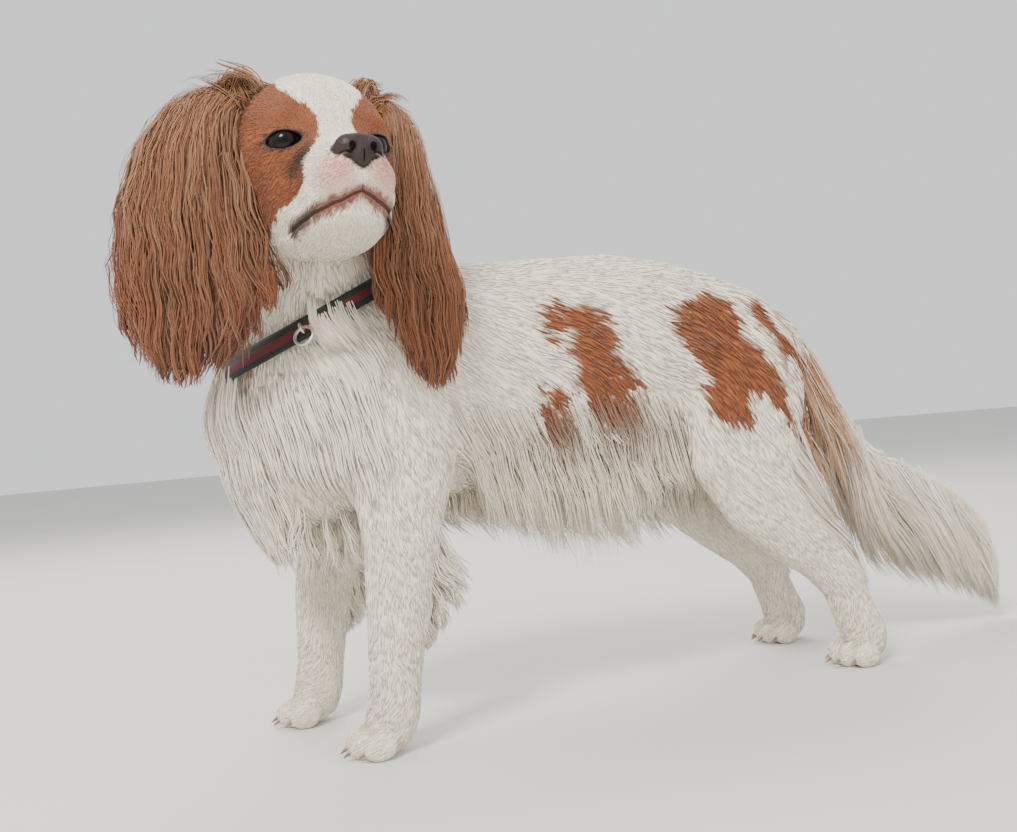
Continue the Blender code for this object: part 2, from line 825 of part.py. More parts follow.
def mouth_line(tree):
    """Lip line from one corner over the middle to the other."""
    place = head_place()
    points = []
    for step in range(-13, 14):
        share = step / 13
        left = MOUTH_HALF_WIDTH * math.sin(share * math.pi / 2)
        forward = 0.050 - 0.046 * abs(share) ** 1.6
        up = -0.0405 - 0.0155 * abs(share) ** 0.75
        points.append(place @ in_head(left, forward, up))
    return on_surface(tree, points)


def lip_split(tree):
    place = head_place()
    points = [place @ in_head(0, 0.056 - 0.001 * i, -0.0285 - 0.0024 * i) for i in range(6)]
    return on_surface(tree, points)


def nose_leather():
    bm = bmesh.new()
    add_masses(bm, NOSE_MASSES, 24)
    mesh = reduced(softened(fused(mesh_from(bm), 0.8 * MM), 5), 0.04)
    bm = bmesh.new()
    add_masses(bm, NOSTRIL_MASSES, 12)
    nostrils = fused(mesh_from(bm), 0.5 * MM)
    return boolean(mesh, [reduced(nostrils, 0.05)], "DIFFERENCE")


def build_head(mesh, nose):
    """Adds lids round the eyes, the mouth's line and the seat of the nose leather."""
    lids = [eye_ball(side, EYE_RADIUS + LID_THICKNESS, 24) for side in (1, -1)]
    mesh = boolean(mesh, lids, "UNION")
    sockets = [eye_ball(side, EYE_RADIUS + GAP) for side in (1, -1)]
    openings = [almond(eye_place(side), side) for side in (1, -1)]
    tree = tree_of(mesh)
    grooves = [
        tube(mouth_line(tree), MOUTH_LINE_RADIUS),
        tube(lip_split(tree), LIP_SPLIT_RADIUS, 6),
    ]
    for cutters in (sockets, openings, grooves, [grown(nose, GAP)]):
        for cutter in cutters:
            mesh = boolean(mesh, [cutter], "DIFFERENCE")
    return largest_piece(mesh)


def along_points(points, share):
    """A point on the smooth curve through the points, by its share of the whole way."""
    place = min(max(share, 0.0), 1.0) * (len(points) - 1)
    i = min(int(place), len(points) - 2)
    t = place - i
    p0, p1 = Vector(points[max(i - 1, 0)]), Vector(points[i])
    p2, p3 = Vector(points[i + 1]), Vector(points[min(i + 2, len(points) - 1)])
    curve = 2 * p1 + (p2 - p0) * t + (2 * p0 - 5 * p1 + 4 * p2 - p3) * t * t
    curve += (3 * p1 - p0 - 3 * p2 + p3) * t ** 3
    return curve / 2


def ear_point(side, across, down):
    """A point of the ear's sheet: across from -1 to 1, down from root 0 to tips 1."""
    inner, middle, outer = (along_points(guide, down) for guide in EAR_GUIDES[side])
    centre = (inner + outer) / 2
    bulge = (middle - centre) * (1 - across * across)
    return centre + (outer - inner) / 2 * across + bulge


def ear_normal(side, across, down):
    step = ear_point(side, across, down + 0.05) - ear_point(side, across, down - 0.05)
    wide = ear_point(side, across + 0.1, down) - ear_point(side, across - 0.1, down)
    return wide.cross(step).normalized() * side


def ear_core(side):
    """The upper part of the ear as a curved leaf."""
    rings = []
    for row in range(EAR_CORE_ROWS + 1):
        down = row / (len(EAR_THICKNESS) - 1)
        thick = EAR_THICKNESS[row] * (1.0, 0.75, 0.6, 0.35)[row]
        points = []
        for step in range(20):
            turn = 2 * math.pi * step / 20
            across = math.cos(turn) * (1.0 if row < EAR_CORE_ROWS else 0.8)
            lift = ear_normal(side, across * 0.8, down) * (thick * math.sin(turn))
            points.append(ear_point(side, across, down) + lift)
        rings.append(points)
    left, forward, up = EAR_ROOT
    root = head_place() @ in_head(side * left, forward, up)
    middle = sum(rings[0], Vector()) / 20
    rings.insert(0, [root + (point - middle) * 0.9 for point in rings[0]])
    bm = bmesh.new()
    loft(bm, rings)
    mesh = fused(mesh_from(bm), 2.0 * MM)
    return reduced(softened(mesh, 6), 0.03)


def inside(point, tree):
    """Whether a ray to the side leaves the closed surface an odd number of times."""
    start, crossings = point, 0
    while crossings < 20:
        spot, _, _, _ = tree.ray_cast(start, RAY)
        if spot is None:
            break
        start = spot + RAY * 1e-5
        crossings += 1
    return crossings % 2 == 1


def short_of(point, tree):
    """How far a point is from being clear of a surface, and the way to be moved."""
    spot, normal, _, distance = tree.find_nearest(point)
    if distance > NEAR:
        return 0.0, normal
    if inside(point, tree):
        return LOCK_CLEARANCE + distance, normal
    return LOCK_CLEARANCE - distance, (point - spot).normalized() if distance > 1e-6 else normal


def bent_clear(points, wide, thick, obstacles):
    """Moves a lock's points until its sections touch no other node and clear the floor."""
    moved = [points[0]]
    for i, point in enumerate(points[1:], 1):
        point = point.copy()
        size = LOCK_SIZES[i] if i < len(LOCK_SIZES) else 0.05
        offsets = [wide * size, wide * -size, thick * size, thick * -size]
        for _ in range(3):
            for tree in obstacles:
                needed = max((short_of(point + o, tree) for o in offsets), key=lambda n: n[0])
                if needed[0] > 0:
                    point += needed[1] * needed[0]
        lowest = min(o.z for o in offsets)
        point.z = max(point.z, SOLE_TRIM + FLOOR_CLEARANCE - lowest)
        moved.append(point)
    return moved


def lock(path, face, half_wide, half_thick, obstacles, dice):
    """A flat tapered lock along a path from its sunk root to its tip."""
    across = (path[-1] - path[0]).cross(face).normalized()
    phase = dice.uniform(0, 2 * math.pi)
    wave = LOCK_WAVE * dice.uniform(0.5, 1.2)
    points = []
    for stop in (*LOCK_STOPS, 1.0):
        sway = wave * stop * math.sin(phase + 7.0 * stop)
        points.append(along_points(path, stop) + across * sway)
    thick = across.cross(path[-1] - path[0]).normalized()
    points = bent_clear(points, across * half_wide, thick * half_thick, obstacles)
    bm = bmesh.new()
    rows = []
    for i, size in enumerate(LOCK_SIZES):
        along = (points[i + 1] - points[max(i - 1, 0)]).normalized()
        wide = along.cross(face).normalized()
        thick = wide.cross(along).normalized()
        corners = ring(points[i], wide, thick, half_wide * size, half_thick * size, 4)
        rows.append([bm.verts.new(corner) for corner in corners])
    for first, second in zip(rows, rows[1:]):
        for i in range(4):
            j = (i + 1) % 4
            bm.faces.new((first[i], first[j], second[j], second[i]))
    tip = bm.verts.new(points[-1])
    for i in range(4):
        bm.faces.new((rows[-1][i], rows[-1][(i + 1) % 4], tip))
    bm.faces.new(rows[0][::-1])
    return mesh_from(bm)


def ear_locks(side, obstacles, dice):
    """Two rows of locks down the outer face of an ear, and a row out to its tips."""
    made = []
    for start, end, columns, layer in ((0.03, 0.56, 4, 1), (0.30, 0.84, 5, 1), (0.44, 1.0, 6, 0)):
        for column in range(columns):
            across = -0.90 + 1.80 * (column + 0.5) / columns + dice.uniform(-0.06, 0.06)
            drift = dice.uniform(-0.08, 0.08)
            finish_at = end - 0.12 * across * across - dice.uniform(0, 0.05)
            path = []
            for step in range(5):
                t = step / 4
                down = start + (finish_at - start) * t
                place = across + drift * t
                lift = layer * (0.0005 + (0.0056 - 0.0030 * t) * t ** 0.5)
                point = ear_point(side, place, down)
                path.append(point + ear_normal(side, place * 0.8, down) * lift)
            span = (ear_point(side, 1, start) - ear_point(side, -1, start)).length
            half_wide = max(0.0068, 0.66 * span / columns) * dice.uniform(0.9, 1.15)
            face = ear_normal(side, across * 0.8, (start + end) / 2)
            half_thick = 0.0036 if layer else 0.0050
            made.append(lock(path, face, half_wide, half_thick, obstacles, dice))
    return made


def fin_point(pairs, down, out_share, out, step):
    """A point of a fin's sheet: down its length, and from its root edge to its tips."""
    near = along_points([(out, y + step, z) for (y, z), _, _ in pairs], down)
    far = along_points([(out, y + step, z) for _, (y, z), _ in pairs], down)
    return near + (far - near) * out_share


def fin_locks(pairs, out, step, columns, layers, drop, half_wide, obstacles, dice):
    """Locks that leave a fin's root edge and sweep down to its tips."""
    made = []
    for layer, offset in enumerate(layers):
        for column in range(columns):
            start = 0.80 * (column + 0.5 * (layer % 2) + dice.uniform(0, 0.3)) / columns
            end = min(start + drop * dice.uniform(0.8, 1.1), 0.97)
            tip = dice.uniform(0.93, 1.0)
            path = []
            for step_share in (0.0, 0.3, 0.6, 0.85, 1.0):
                down = start + (end - start) * step_share ** 1.1
                reach = 0.05 + (tip - 0.05) * step_share ** 0.9
                point = fin_point(pairs, down, reach, out, step)
                point.x += offset * (0.6 + 0.5 * step_share - 0.6 * step_share ** 3)
                path.append(point)
            size = dice.uniform(0.85, 1.1)
            face = LEFT if offset >= 0 else -LEFT
            made.append(lock(path, face, half_wide * size, 0.0042, obstacles, dice))
    return made


def belly_locks(obstacles, dice):
    """Locks that hang from the belly's middle, leaning back a little."""
    rows = [Vector((w, y, z + h)) for y, z, w, h in BELLY_FRINGE]
    tips = [Vector((w, y, z - h)) for y, z, w, h in BELLY_FRINGE]
    made = []
    count = 8
    for side in (-1, 1):
        for column in range(count):
            share = (column + 0.5 + 0.3 * side + dice.uniform(-0.15, 0.15)) / count
            top, low = along_points(rows, share), along_points(tips, share + 0.05)
            low.z += dice.uniform(0.0, 0.008)
            root = Vector((side * 0.35 * top.x, top.y, top.z - 0.004))
            tip = Vector((side * 0.40 * low.x, low.y, low.z))
            path = []
            for t in (0.0, 0.35, 0.7, 1.0):
                point = root.lerp(tip, t)
                point.x += side * 0.006 * math.sin(math.pi * t)
                point.y += 0.006 * t * t
                path.append(point)
            made.append(lock(path, LEFT * side, 0.0165, 0.0045, obstacles, dice))
    return made


def bib_locks(obstacles, dice):
    """Rows of locks that fall down the front of the chest to a point between the forelegs."""
    made = []
    rows = ((0.12, 0.56, 5), (0.44, 0.84, 4), (0.68, 1.0, 3))
    centres = [centre for centre, _, _ in BIB]
    sizes = [(wide, deep, 0.0) for _, wide, deep in BIB]
    for number, (start, end, columns) in enumerate(rows):
        for column in range(columns):
            turn = -62 + 124 * (column + 0.5) / columns + dice.uniform(-5, 5)
            turn = math.radians(turn + (6 if number % 2 else -6))
            path = []
            for t in (0.0, 0.3, 0.6, 0.85, 1.0):
                down = start + (end - start) * t
                wide, deep, _ = along_points(sizes, down)
                out = Vector((math.sin(turn), -math.cos(turn), 0))
                lift = -0.004 + 0.006 * t
                surface = Vector((out.x * wide, out.y * deep, 0))
                path.append(along_points(centres, down) + surface + out * lift)
            face = Vector((math.sin(turn), -math.cos(turn), 0.2)).normalized()
            made.append(lock(path, face, 0.0135, 0.0045, obstacles, dice))
    return made


def cleared(locks, neighbours):
    """The locks, those that still come too near a neighbour cut back to clear it."""
    seats = [(grown(other, 1.5 * GAP), tree_of(grown(other, GAP))) for other in neighbours]
    for mesh in locks:
        tree = tree_of(mesh)
        crossed = [seat for seat, near in seats if tree.overlap(near)]
        yield boolean(mesh, crossed, "DIFFERENCE") if crossed else mesh


def sound(mesh):
    """Whether every edge and every corner of a surface is a plain closed one."""
    bm = bmesh.new()
    bm.from_mesh(mesh)
    whole = all(edge.is_manifold for edge in bm.edges) and all(v.is_manifold for v in bm.verts)
    bm.free()
    return whole


def with_locks(mesh, locks, neighbours, most):
    """A node joined with its locks, and thinned away from its seams to so many triangles."""
    mesh = largest_piece(boolean(mesh, list(cleared(locks, neighbours)), "UNION"))
    trees = [tree_of(other) for other in neighbours]

    def free(point):
        return all(tree.find_nearest(point, SEAM_KEPT)[0] is None for tree in trees)

    far = [free(corner.co) for corner in mesh.vertices]
    sizes = [(len(f.vertices) - 2, all(far[i] for i in f.vertices)) for f in mesh.polygons]
    loose = sum(size for size, away in sizes if away)
    kept = sum(size for size, away in sizes if not away)
    for tries in range(8):
        thinner = thin_where(mesh, free, min(1.0, (most - kept) / loose * (1 - 0.01 * tries)))
        if sound(thinner):
            return thinner
    return mesh


def neck_radius(tree, turn, height):
    """How far the neck reaches from the collar's middle in one direction of its plane."""
    across = LEFT - COLLAR_LIE * LEFT.dot(COLLAR_LIE)
    across.normalize()
    ahead = across.cross(COLLAR_LIE)
    way = across * math.sin(turn) + ahead * math.cos(turn)
    start = COLLAR_AT + COLLAR_LIE * height + way * 0.15
    spot, _, _, distance = tree.ray_cast(start, -way)
    return way, (0.15 - distance) if spot else 0.05


def collar_band(neck):
    """A band that follows the neck all round, with rounded edges."""
    tree = tree_of(neck)
    turns = 30
    levels = (-0.5, 0.0, 0.5)
    radii = []
    for level in levels:
        row = [neck_radius(tree, 2 * math.pi * k / turns, level * BAND_WIDTH)[1]
               for k in range(turns)]
        row = [max(row[k - 1], row[k], row[(k + 1) % turns]) for k in range(turns)]
        radii.append([(row[k - 1] + row[k] + row[(k + 1) % turns]) / 3 + BAND_OFF
                      for k in range(turns)])
    bm = bmesh.new()
    rows = []
    profile = ((0, 0.0), (2, 0.0), (2, 0.7), (1, 1.15), (0, 0.7))
    for k in range(turns):
        way, _ = neck_radius(tree, 2 * math.pi * k / turns, 0.0)
        rows.append([
            bm.verts.new(COLLAR_AT + COLLAR_LIE * (levels[i] * BAND_WIDTH)
                         + way * (radii[i][k] + share * BAND_THICKNESS))
            for i, share in profile
        ])
    for k in range(turns):
        a, b = rows[k], rows[(k + 1) % turns]
        for i in range(len(profile)):
            j = (i + 1) % len(profile)
            bm.faces.new((a[i], b[i], b[j], a[j]))
    return mesh_from(bm)


def torus(centre, axis, radius, wire, turns=20, sides=6):
    bm = bmesh.new()
    side = axis.orthogonal().normalized()
    other = axis.cross(side).normalized()
    rows = []
    for k in range(turns):
        t = 2 * math.pi * k / turns
        way = side * math.cos(t) + other * math.sin(t)
        points = ring(centre + way * radius, way, axis.normalized(), wire, wire, sides)
        rows.append([bm.verts.new(point) for point in points])
    for k in range(turns):
        a, b = rows[k], rows[(k + 1) % turns]
        for i in range(sides):
            j = (i + 1) % sides
            bm.faces.new((a[i], a[j], b[j], b[i]))
    return mesh_from(bm)


def collar_and_ring(neck):
    """The band with a small eye fused to it, and the ring that hangs through the eye."""
    band = collar_band(neck)
    tree = tree_of(band)
    spots = []
    for height in (-0.4 * BAND_WIDTH, 0.4 * BAND_WIDTH):
        way, reach = neck_radius(tree, RING_TURN, height)
        spots.append(COLLAR_AT + COLLAR_LIE * height + way * reach)
    rise = (spots[1] - spots[0]).normalized()
    along = rise.cross(way).normalized()
    out = along.cross(rise).normalized()
    loop_at = (spots[0] + spots[1]) / 2 + out * (LOOP_WIRE * 1.6)
    loop = torus(loop_at, along, LOOP_RADIUS, LOOP_WIRE, 12)
    hang = (out * 0.45 - rise).normalized()
    across = hang.cross(along).normalized()
    top = loop_at + out * (LOOP_RADIUS - LOOP_WIRE - RING_WIRE - GAP)
    ring_at = top + hang * RING_RADIUS
    band = boolean(boolean(band, [loop], "UNION"), [grown(neck, 3 * GAP)], "DIFFERENCE")
    return largest_piece(band), torus(ring_at, across, RING_RADIUS, RING_WIRE)


def add_coat(nodes):
    """Locks on each node that carries long coat, clear of all the other nodes."""
    dice = random.Random(SEED)

    def others(name):
        return [mesh for other, mesh in nodes.items() if other != name]

    def trees(name):
        return [tree_of(mesh) for mesh in others(name)]

    made = bib_locks(trees("torso"), dice) + belly_locks(trees("torso"), dice)
    nodes["torso"] = with_locks(nodes["torso"], made, others("torso"), MOST_ON_TORSO)
    made = fin_locks(PLUME, 0.0, 0.0, 9, (0.005, -0.005), 0.30, 0.0165, trees("tail"), dice)
    nodes["tail"] = with_locks(nodes["tail"], made, others("tail"), MOST_ON_TAIL)
    for side, hand in ((1, "left"), (-1, "right")):
        name = "leg_front_" + hand
        out, step = side * FORE_TOES.x, FORE_STEP[side]
        made = fin_locks(FEATHER, out, step, 3, (0.003, -0.003), 0.32, 0.0120, trees(name), dice)
        nodes[name] = with_locks(nodes[name], made, others(name), MOST_ON_LEG)
        name = "leg_hind_" + hand
        out, step = side * HIND_TOES.x, HIND_STEP[side]
        made = fin_locks(TROUSERS, out, step, 4, (0.007, -0.006), 0.36, 0.0150, trees(name), dice)
        nodes[name] = with_locks(nodes[name], made, others(name), MOST_ON_LEG)
    for side, hand in ((1, "left"), (-1, "right")):
        name = "ear_" + hand
        core = ear_core(side)
        made = ear_locks(side, trees(name), dice)
        ear = with_locks(core, made, [], MOST_ON_EAR)
        seats = [grown(nodes[near], 1.5 * GAP) for near in ("head", "neck", "collar")]
        nodes[name] = largest_piece(boolean(ear, seats, "DIFFERENCE"))


def finish(name):
    colour, roughness, metallic = FINISHES[name]
    material = bpy.data.materials.new(name)
    material.use_nodes = True
    sockets = material.node_tree.nodes["Principled BSDF"].inputs
    sockets["Base Color"].default_value = (*colour, 1.0)
    sockets["Roughness"].default_value = roughness
    sockets["Metallic"].default_value = metallic
    return material


def main():
    clear_scene()
    dog = collection("spaniel")
    body = fused(whole_body(), BODY_VOXEL)
    body = softened(body, SOFTENING_PASSES, softness)
    push_head(body)
    body = thin_faces(body)
    body = flat_soles(body)

    nodes = {}
    for side, hand in ((1, "left"), (-1, "right")):
        for stations, steps, toes_at, name in (
            (FORE_SPACE, FORE_STEP, FORE_TOES, "leg_front_"),
            (HIND_SPACE, HIND_STEP, HIND_TOES, "leg_hind_"),
        ):
            inner = leg_space(stations, side, steps[side])
            outer = leg_space(stations, side, steps[side], 1.6 * GAP)
            leg = boolean(body, [inner], "INTERSECT")
            toes = toe_centres(toes_at, side, steps[side])
            leg = boolean(leg, [claw(centre, TOE_RADII) for centre in toes], "UNION")
            nodes[name + hand] = largest_piece(leg)
            body = boolean(body, [outer], "DIFFERENCE")
    for centre, normal, radius in (HEAD_CUT, NECK_CUT, TAIL_CUT):
        body = boolean(body, [disc(centre, normal.normalized(), radius, GAP)], "DIFFERENCE")
    nodes.update(parted(body, TRUNK_MARKS))
    nose = nose_leather()
    nodes["nose"] = nose
    nodes["collar"], nodes["collar_ring"] = collar_and_ring(nodes["neck"])
    add_coat(nodes)
    nodes["head"] = build_head(nodes["head"], nose)
    for side, hand in ((1, "left"), (-1, "right")):
        nodes["eye_" + hand] = eye_ball(side, EYE_RADIUS)
    for name, mesh in nodes.items():
        mesh.transform(Matrix.Translation(ORIGIN_SHIFT))
        mesh.name = name
        mesh.materials.clear()
        mesh.materials.append(finish(name))
        mesh.shade_smooth()
        mesh.set_sharp_from_angle(angle=math.radians(40.0))
        dog.objects.link(bpy.data.objects.new(name, mesh))


main()
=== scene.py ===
"""A standing spaniel, as a still, life-size museum model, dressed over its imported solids."""

import json
import math

import bmesh
import bpy
import numpy as np
from bpy.props import FloatProperty, FloatVectorProperty, IntProperty, PointerProperty
from mathutils import Matrix, Vector
from mathutils.bvhtree import BVHTree

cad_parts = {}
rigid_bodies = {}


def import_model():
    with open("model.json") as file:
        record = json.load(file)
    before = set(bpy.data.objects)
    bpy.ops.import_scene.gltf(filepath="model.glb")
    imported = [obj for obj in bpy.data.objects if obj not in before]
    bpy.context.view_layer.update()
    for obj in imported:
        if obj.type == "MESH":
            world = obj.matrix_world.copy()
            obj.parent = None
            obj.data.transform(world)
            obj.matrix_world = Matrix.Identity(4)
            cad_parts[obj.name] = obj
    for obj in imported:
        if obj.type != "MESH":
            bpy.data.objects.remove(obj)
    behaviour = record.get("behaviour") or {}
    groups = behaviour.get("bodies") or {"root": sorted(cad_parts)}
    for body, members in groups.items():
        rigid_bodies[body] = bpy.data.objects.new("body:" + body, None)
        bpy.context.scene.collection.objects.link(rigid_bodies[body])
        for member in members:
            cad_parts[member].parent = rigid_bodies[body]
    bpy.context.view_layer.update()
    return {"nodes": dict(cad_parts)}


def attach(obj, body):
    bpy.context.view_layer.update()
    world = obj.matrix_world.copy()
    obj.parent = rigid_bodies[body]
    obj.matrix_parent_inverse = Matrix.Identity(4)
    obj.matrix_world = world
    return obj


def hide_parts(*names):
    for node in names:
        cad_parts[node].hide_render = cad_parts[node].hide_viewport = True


bl_info = {
    "name": "Standing spaniel",
    "version": (1, 0, 0),
    "blender": (4, 5, 0),
    "location": "View3D > Sidebar > Spaniel",
    "description": "Skin, coat, eyes, nose, claws and collar of a standing spaniel",
    "category": "Object",
}

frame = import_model()

MM = 0.001
UP = Vector((0, 0, 1))
LEFT = Vector((1, 0, 0))
BACK = Vector((0, 1, 0))
SOLE_TRIM = 1.2 * MM
ORIGIN_SHIFT = Vector((-0.044, -0.133, -SOLE_TRIM))
FLESH = (
    "head", "neck", "torso", "tail", "leg_front_left", "leg_front_right",
    "leg_hind_left", "leg_hind_right", "ear_left", "ear_right",
)
made = {}


# Torso: how far back, height of the section's middle, half width, half height.
TORSO = (
    (-0.164, 0.222, 0.026, 0.034),
    (-0.152, 0.220, 0.046, 0.058),
    (-0.130, 0.222, 0.060, 0.078),
    (-0.100, 0.231, 0.069, 0.088),
    (-0.060, 0.241, 0.073, 0.090),
    (-0.020, 0.244, 0.074, 0.088),
    (0.030, 0.247, 0.074, 0.084),
    (0.080, 0.250, 0.073, 0.083),
    (0.130, 0.253, 0.070, 0.082),
    (0.170, 0.253, 0.065, 0.076),
    (0.210, 0.251, 0.061, 0.068),
    (0.250, 0.245, 0.056, 0.059),
    (0.280, 0.237, 0.046, 0.047),
    (0.298, 0.229, 0.030, 0.031),
)

# Neck: centre, half width, half depth.
NECK = (
    ((0.000, -0.050, 0.235), 0.066, 0.070),
    ((0.002, -0.078, 0.270), 0.057, 0.066),
    ((0.010, -0.098, 0.305), 0.049, 0.054),
    ((0.022, -0.106, 0.340), 0.045, 0.047),
    ((0.036, -0.108, 0.372), 0.042, 0.043),
    ((0.050, -0.108, 0.395), 0.038, 0.038),
)

# Legs of the left side, from the body down: centre, half width, half depth fore and aft.
FORE_LEG = (
    ((0.046, -0.078, 0.245), 0.024, 0.036),
    ((0.052, -0.062, 0.205), 0.027, 0.042),
    ((0.055, -0.058, 0.170), 0.025, 0.037),
    ((0.057, -0.062, 0.135), 0.0215, 0.028),
    ((0.057, -0.067, 0.100), 0.0195, 0.0235),
    ((0.057, -0.071, 0.070), 0.0185, 0.0200),
    ((0.057, -0.074, 0.045), 0.0180, 0.0175),
    ((0.057, -0.077, 0.026), 0.0175, 0.0180),
    ((0.057, -0.081, 0.014), 0.0160, 0.0172),
    ((0.057, -0.083, 0.007), 0.0120, 0.0125),
)
HIND_LEG = (
    ((0.038, 0.240, 0.268), 0.020, 0.036),
    ((0.045, 0.226, 0.235), 0.027, 0.050),
    ((0.050, 0.212, 0.200), 0.029, 0.054),
    ((0.054, 0.208, 0.165), 0.026, 0.048),
    ((0.056, 0.220, 0.135), 0.0225, 0.036),
    ((0.056, 0.243, 0.108), 0.0190, 0.027),
    ((0.056, 0.266, 0.086), 0.0165, 0.0215),
    ((0.056, 0.283, 0.064), 0.0155, 0.0180),
    ((0.056, 0.292, 0.040), 0.0160, 0.0172),
    ((0.056, 0.298, 0.024), 0.0170, 0.0190),
    ((0.056, 0.298, 0.014), 0.0158, 0.0172),
    ((0.056, 0.296, 0.007), 0.0120, 0.0125),
)
# How far each foot stands behind the left one of its pair; the shift grows from the body down.
FORE_STEP = {1: 0.0, -1: -0.028}
HIND_STEP = {1: 0.0, -1: 0.006}
STEP_STARTS = 0.24
STEP_FULL = 0.10

# Feet: middle of the row of toes, spread, radii of a toe, and the flat it stands on.
FORE_TOES = Vector((0.057, -0.094, 0.0))
HIND_TOES = Vector((0.056, 0.284, 0.0))
TOE_SPREAD = 0.0104
TOE_RADII = (0.0068, 0.0120, 0.0098)
TOE_AHEAD = (-0.003, 0.004, 0.004, -0.003)
HEEL_PAD_BEHIND = 0.016
HEEL_PAD_RADII = (0.0125, 0.0125, 0.0105)
CLAW_RADIUS = 1.4 * MM
CLAW_LENGTH = 9.0 * MM

# Tail under its plume: centre, radius.
TAIL = (
    ((0.000, 0.262, 0.262), 0.021),
    ((0.000, 0.292, 0.247), 0.018),
    ((0.000, 0.315, 0.218), 0.0150),
    ((0.000, 0.333, 0.187), 0.0130),
    ((0.000, 0.356, 0.161), 0.0115),
    ((0.000, 0.390, 0.141), 0.0095),
    ((0.000, 0.424, 0.123), 0.0070),
)

# Head, in its own frame: half way between the eyes is 0, and a point is (left, forward, up).
EYES_AT = Vector((0.1062, -0.0986, 0.3843))
HEAD_TURN = math.radians(96.5)
HEAD_LIFT = math.radians(1.4)
# Skull and upper jaw: how far forward, half width, top, bottom.
SKULL = (
    (-0.090, 0.022, 0.032, -0.010),
    (-0.078, 0.038, 0.046, -0.028),
    (-0.058, 0.0490, 0.0530, -0.042),
    (-0.034, 0.0520, 0.0550, -0.048),
    (-0.014, 0.0490, 0.0520, -0.052),
    (0.000, 0.0420, 0.0425, -0.054),
    (0.010, 0.0330, 0.0260, -0.054),
    (0.019, 0.0275, 0.0080, -0.053),
    (0.030, 0.0245, -0.0030, -0.052),
    (0.042, 0.0220, -0.0075, -0.048),
    (0.051, 0.0180, -0.0105, -0.042),
    (0.056, 0.0120, -0.0150, -0.036),
)
# Lower jaw, from the throat to the chin, in the same terms.
JAW = (
    (-0.050, 0.031, -0.035, -0.0600),
    (-0.030, 0.035, -0.035, -0.0650),
    (-0.010, 0.031, -0.040, -0.0660),
    (0.010, 0.0275, -0.042, -0.0655),
    (0.026, 0.0230, -0.041, -0.0635),
    (0.038, 0.0170, -0.040, -0.0600),
    (0.045, 0.0100, -0.040, -0.0545),
)
# Rounded masses on both sides of the head: (left, forward, up) and radii.
HEAD_MASSES = (
    ((0.0260, -0.016, -0.026), (0.0165, 0.030, 0.028)),
    ((0.0105, 0.0390, -0.0320), (0.0145, 0.0165, 0.0155)),
    ((0.0165, 0.0240, -0.0385), (0.0120, 0.0215, 0.0150)),
    ((0.0220, 0.0080, -0.0460), (0.0105, 0.0170, 0.0125)),
    ((0.0258, -0.0010, 0.0000), (0.0140, 0.0124, 0.0140)),
    ((0.0225, -0.0015, 0.0145), (0.0150, 0.0120, 0.0110)),
)
# Soft pushes along the surface's normal, on both sides: (left, forward, up), reach, height.
HEAD_PUSHES = (
    ((0.000, 0.018, 0.009), 0.010, -0.0022),
    ((0.000, -0.008, 0.048), 0.013, -0.0010),
    ((0.025, 0.015, -0.010), 0.009, -0.0016),
    ((0.033, 0.000, 0.015), 0.010, 0.0010),
    ((0.045, -0.020, -0.004), 0.012, -0.0010),
)

EYE_AT = (0.0262, -0.0004, 0.0000)
EYE_RADIUS = 11.2 * MM
EYE_LOOKS_OUT = math.radians(24.0)
LID_THICKNESS = 1.8 * MM
EYE_OPENING = (22.5 * MM, 11.2 * MM)

# Nose leather: (left, forward, up) and radii of its rounded masses; side ones are doubled.
NOSE_MASSES = (
    ((0.0000, 0.0520, -0.0195), (0.0078, 0.0082, 0.0098)),
    ((0.0000, 0.0520, -0.0248), (0.0043, 0.0061, 0.0051)),
    ((0.0064, 0.0508, -0.0170), (0.0078, 0.0090, 0.0078)),
    ((0.0105, 0.0480, -0.0185), (0.0046, 0.0080, 0.0058)),
    ((0.0000, 0.0480, -0.0135), (0.0122, 0.0102, 0.0056)),
)
# Nostrils, the slits at their outer sides, and the groove below.
NOSTRIL_MASSES = (
    ((0.0062, 0.0600, -0.0180), (0.0022, 0.0050, 0.0028)),
    ((0.0098, 0.0575, -0.0212), (0.0038, 0.0048, 0.0011)),
    ((0.0132, 0.0530, -0.0226), (0.0030, 0.0048, 0.0009)),
)
GROOVE_MASS = (((0.0000, 0.0605, -0.0260), (0.0006, 0.0030, 0.0070)),)
MOUTH_HALF_WIDTH = 0.0315

# Bib, from above down: centre, half width, half depth.
BIB = (
    ((0.000, -0.150, 0.266), 0.036, 0.018),
    ((0.000, -0.150, 0.232), 0.045, 0.026),
    ((0.000, -0.142, 0.195), 0.042, 0.026),
    ((0.000, -0.136, 0.165), 0.032, 0.021),
    ((0.000, -0.130, 0.136), 0.018, 0.012),
    ((0.000, -0.126, 0.124), 0.006, 0.005),
)
# Belly fringe: how far back, height of its middle, half width, half height.
BELLY_FRINGE = (
    (-0.040, 0.160, 0.016, 0.012),
    (-0.010, 0.154, 0.022, 0.022),
    (0.030, 0.152, 0.024, 0.025),
    (0.070, 0.148, 0.023, 0.032),
    (0.110, 0.142, 0.020, 0.038),
    (0.150, 0.142, 0.017, 0.040),
    (0.185, 0.144, 0.015, 0.040),
    (0.205, 0.152, 0.012, 0.030),
    (0.215, 0.162, 0.006, 0.014),
)
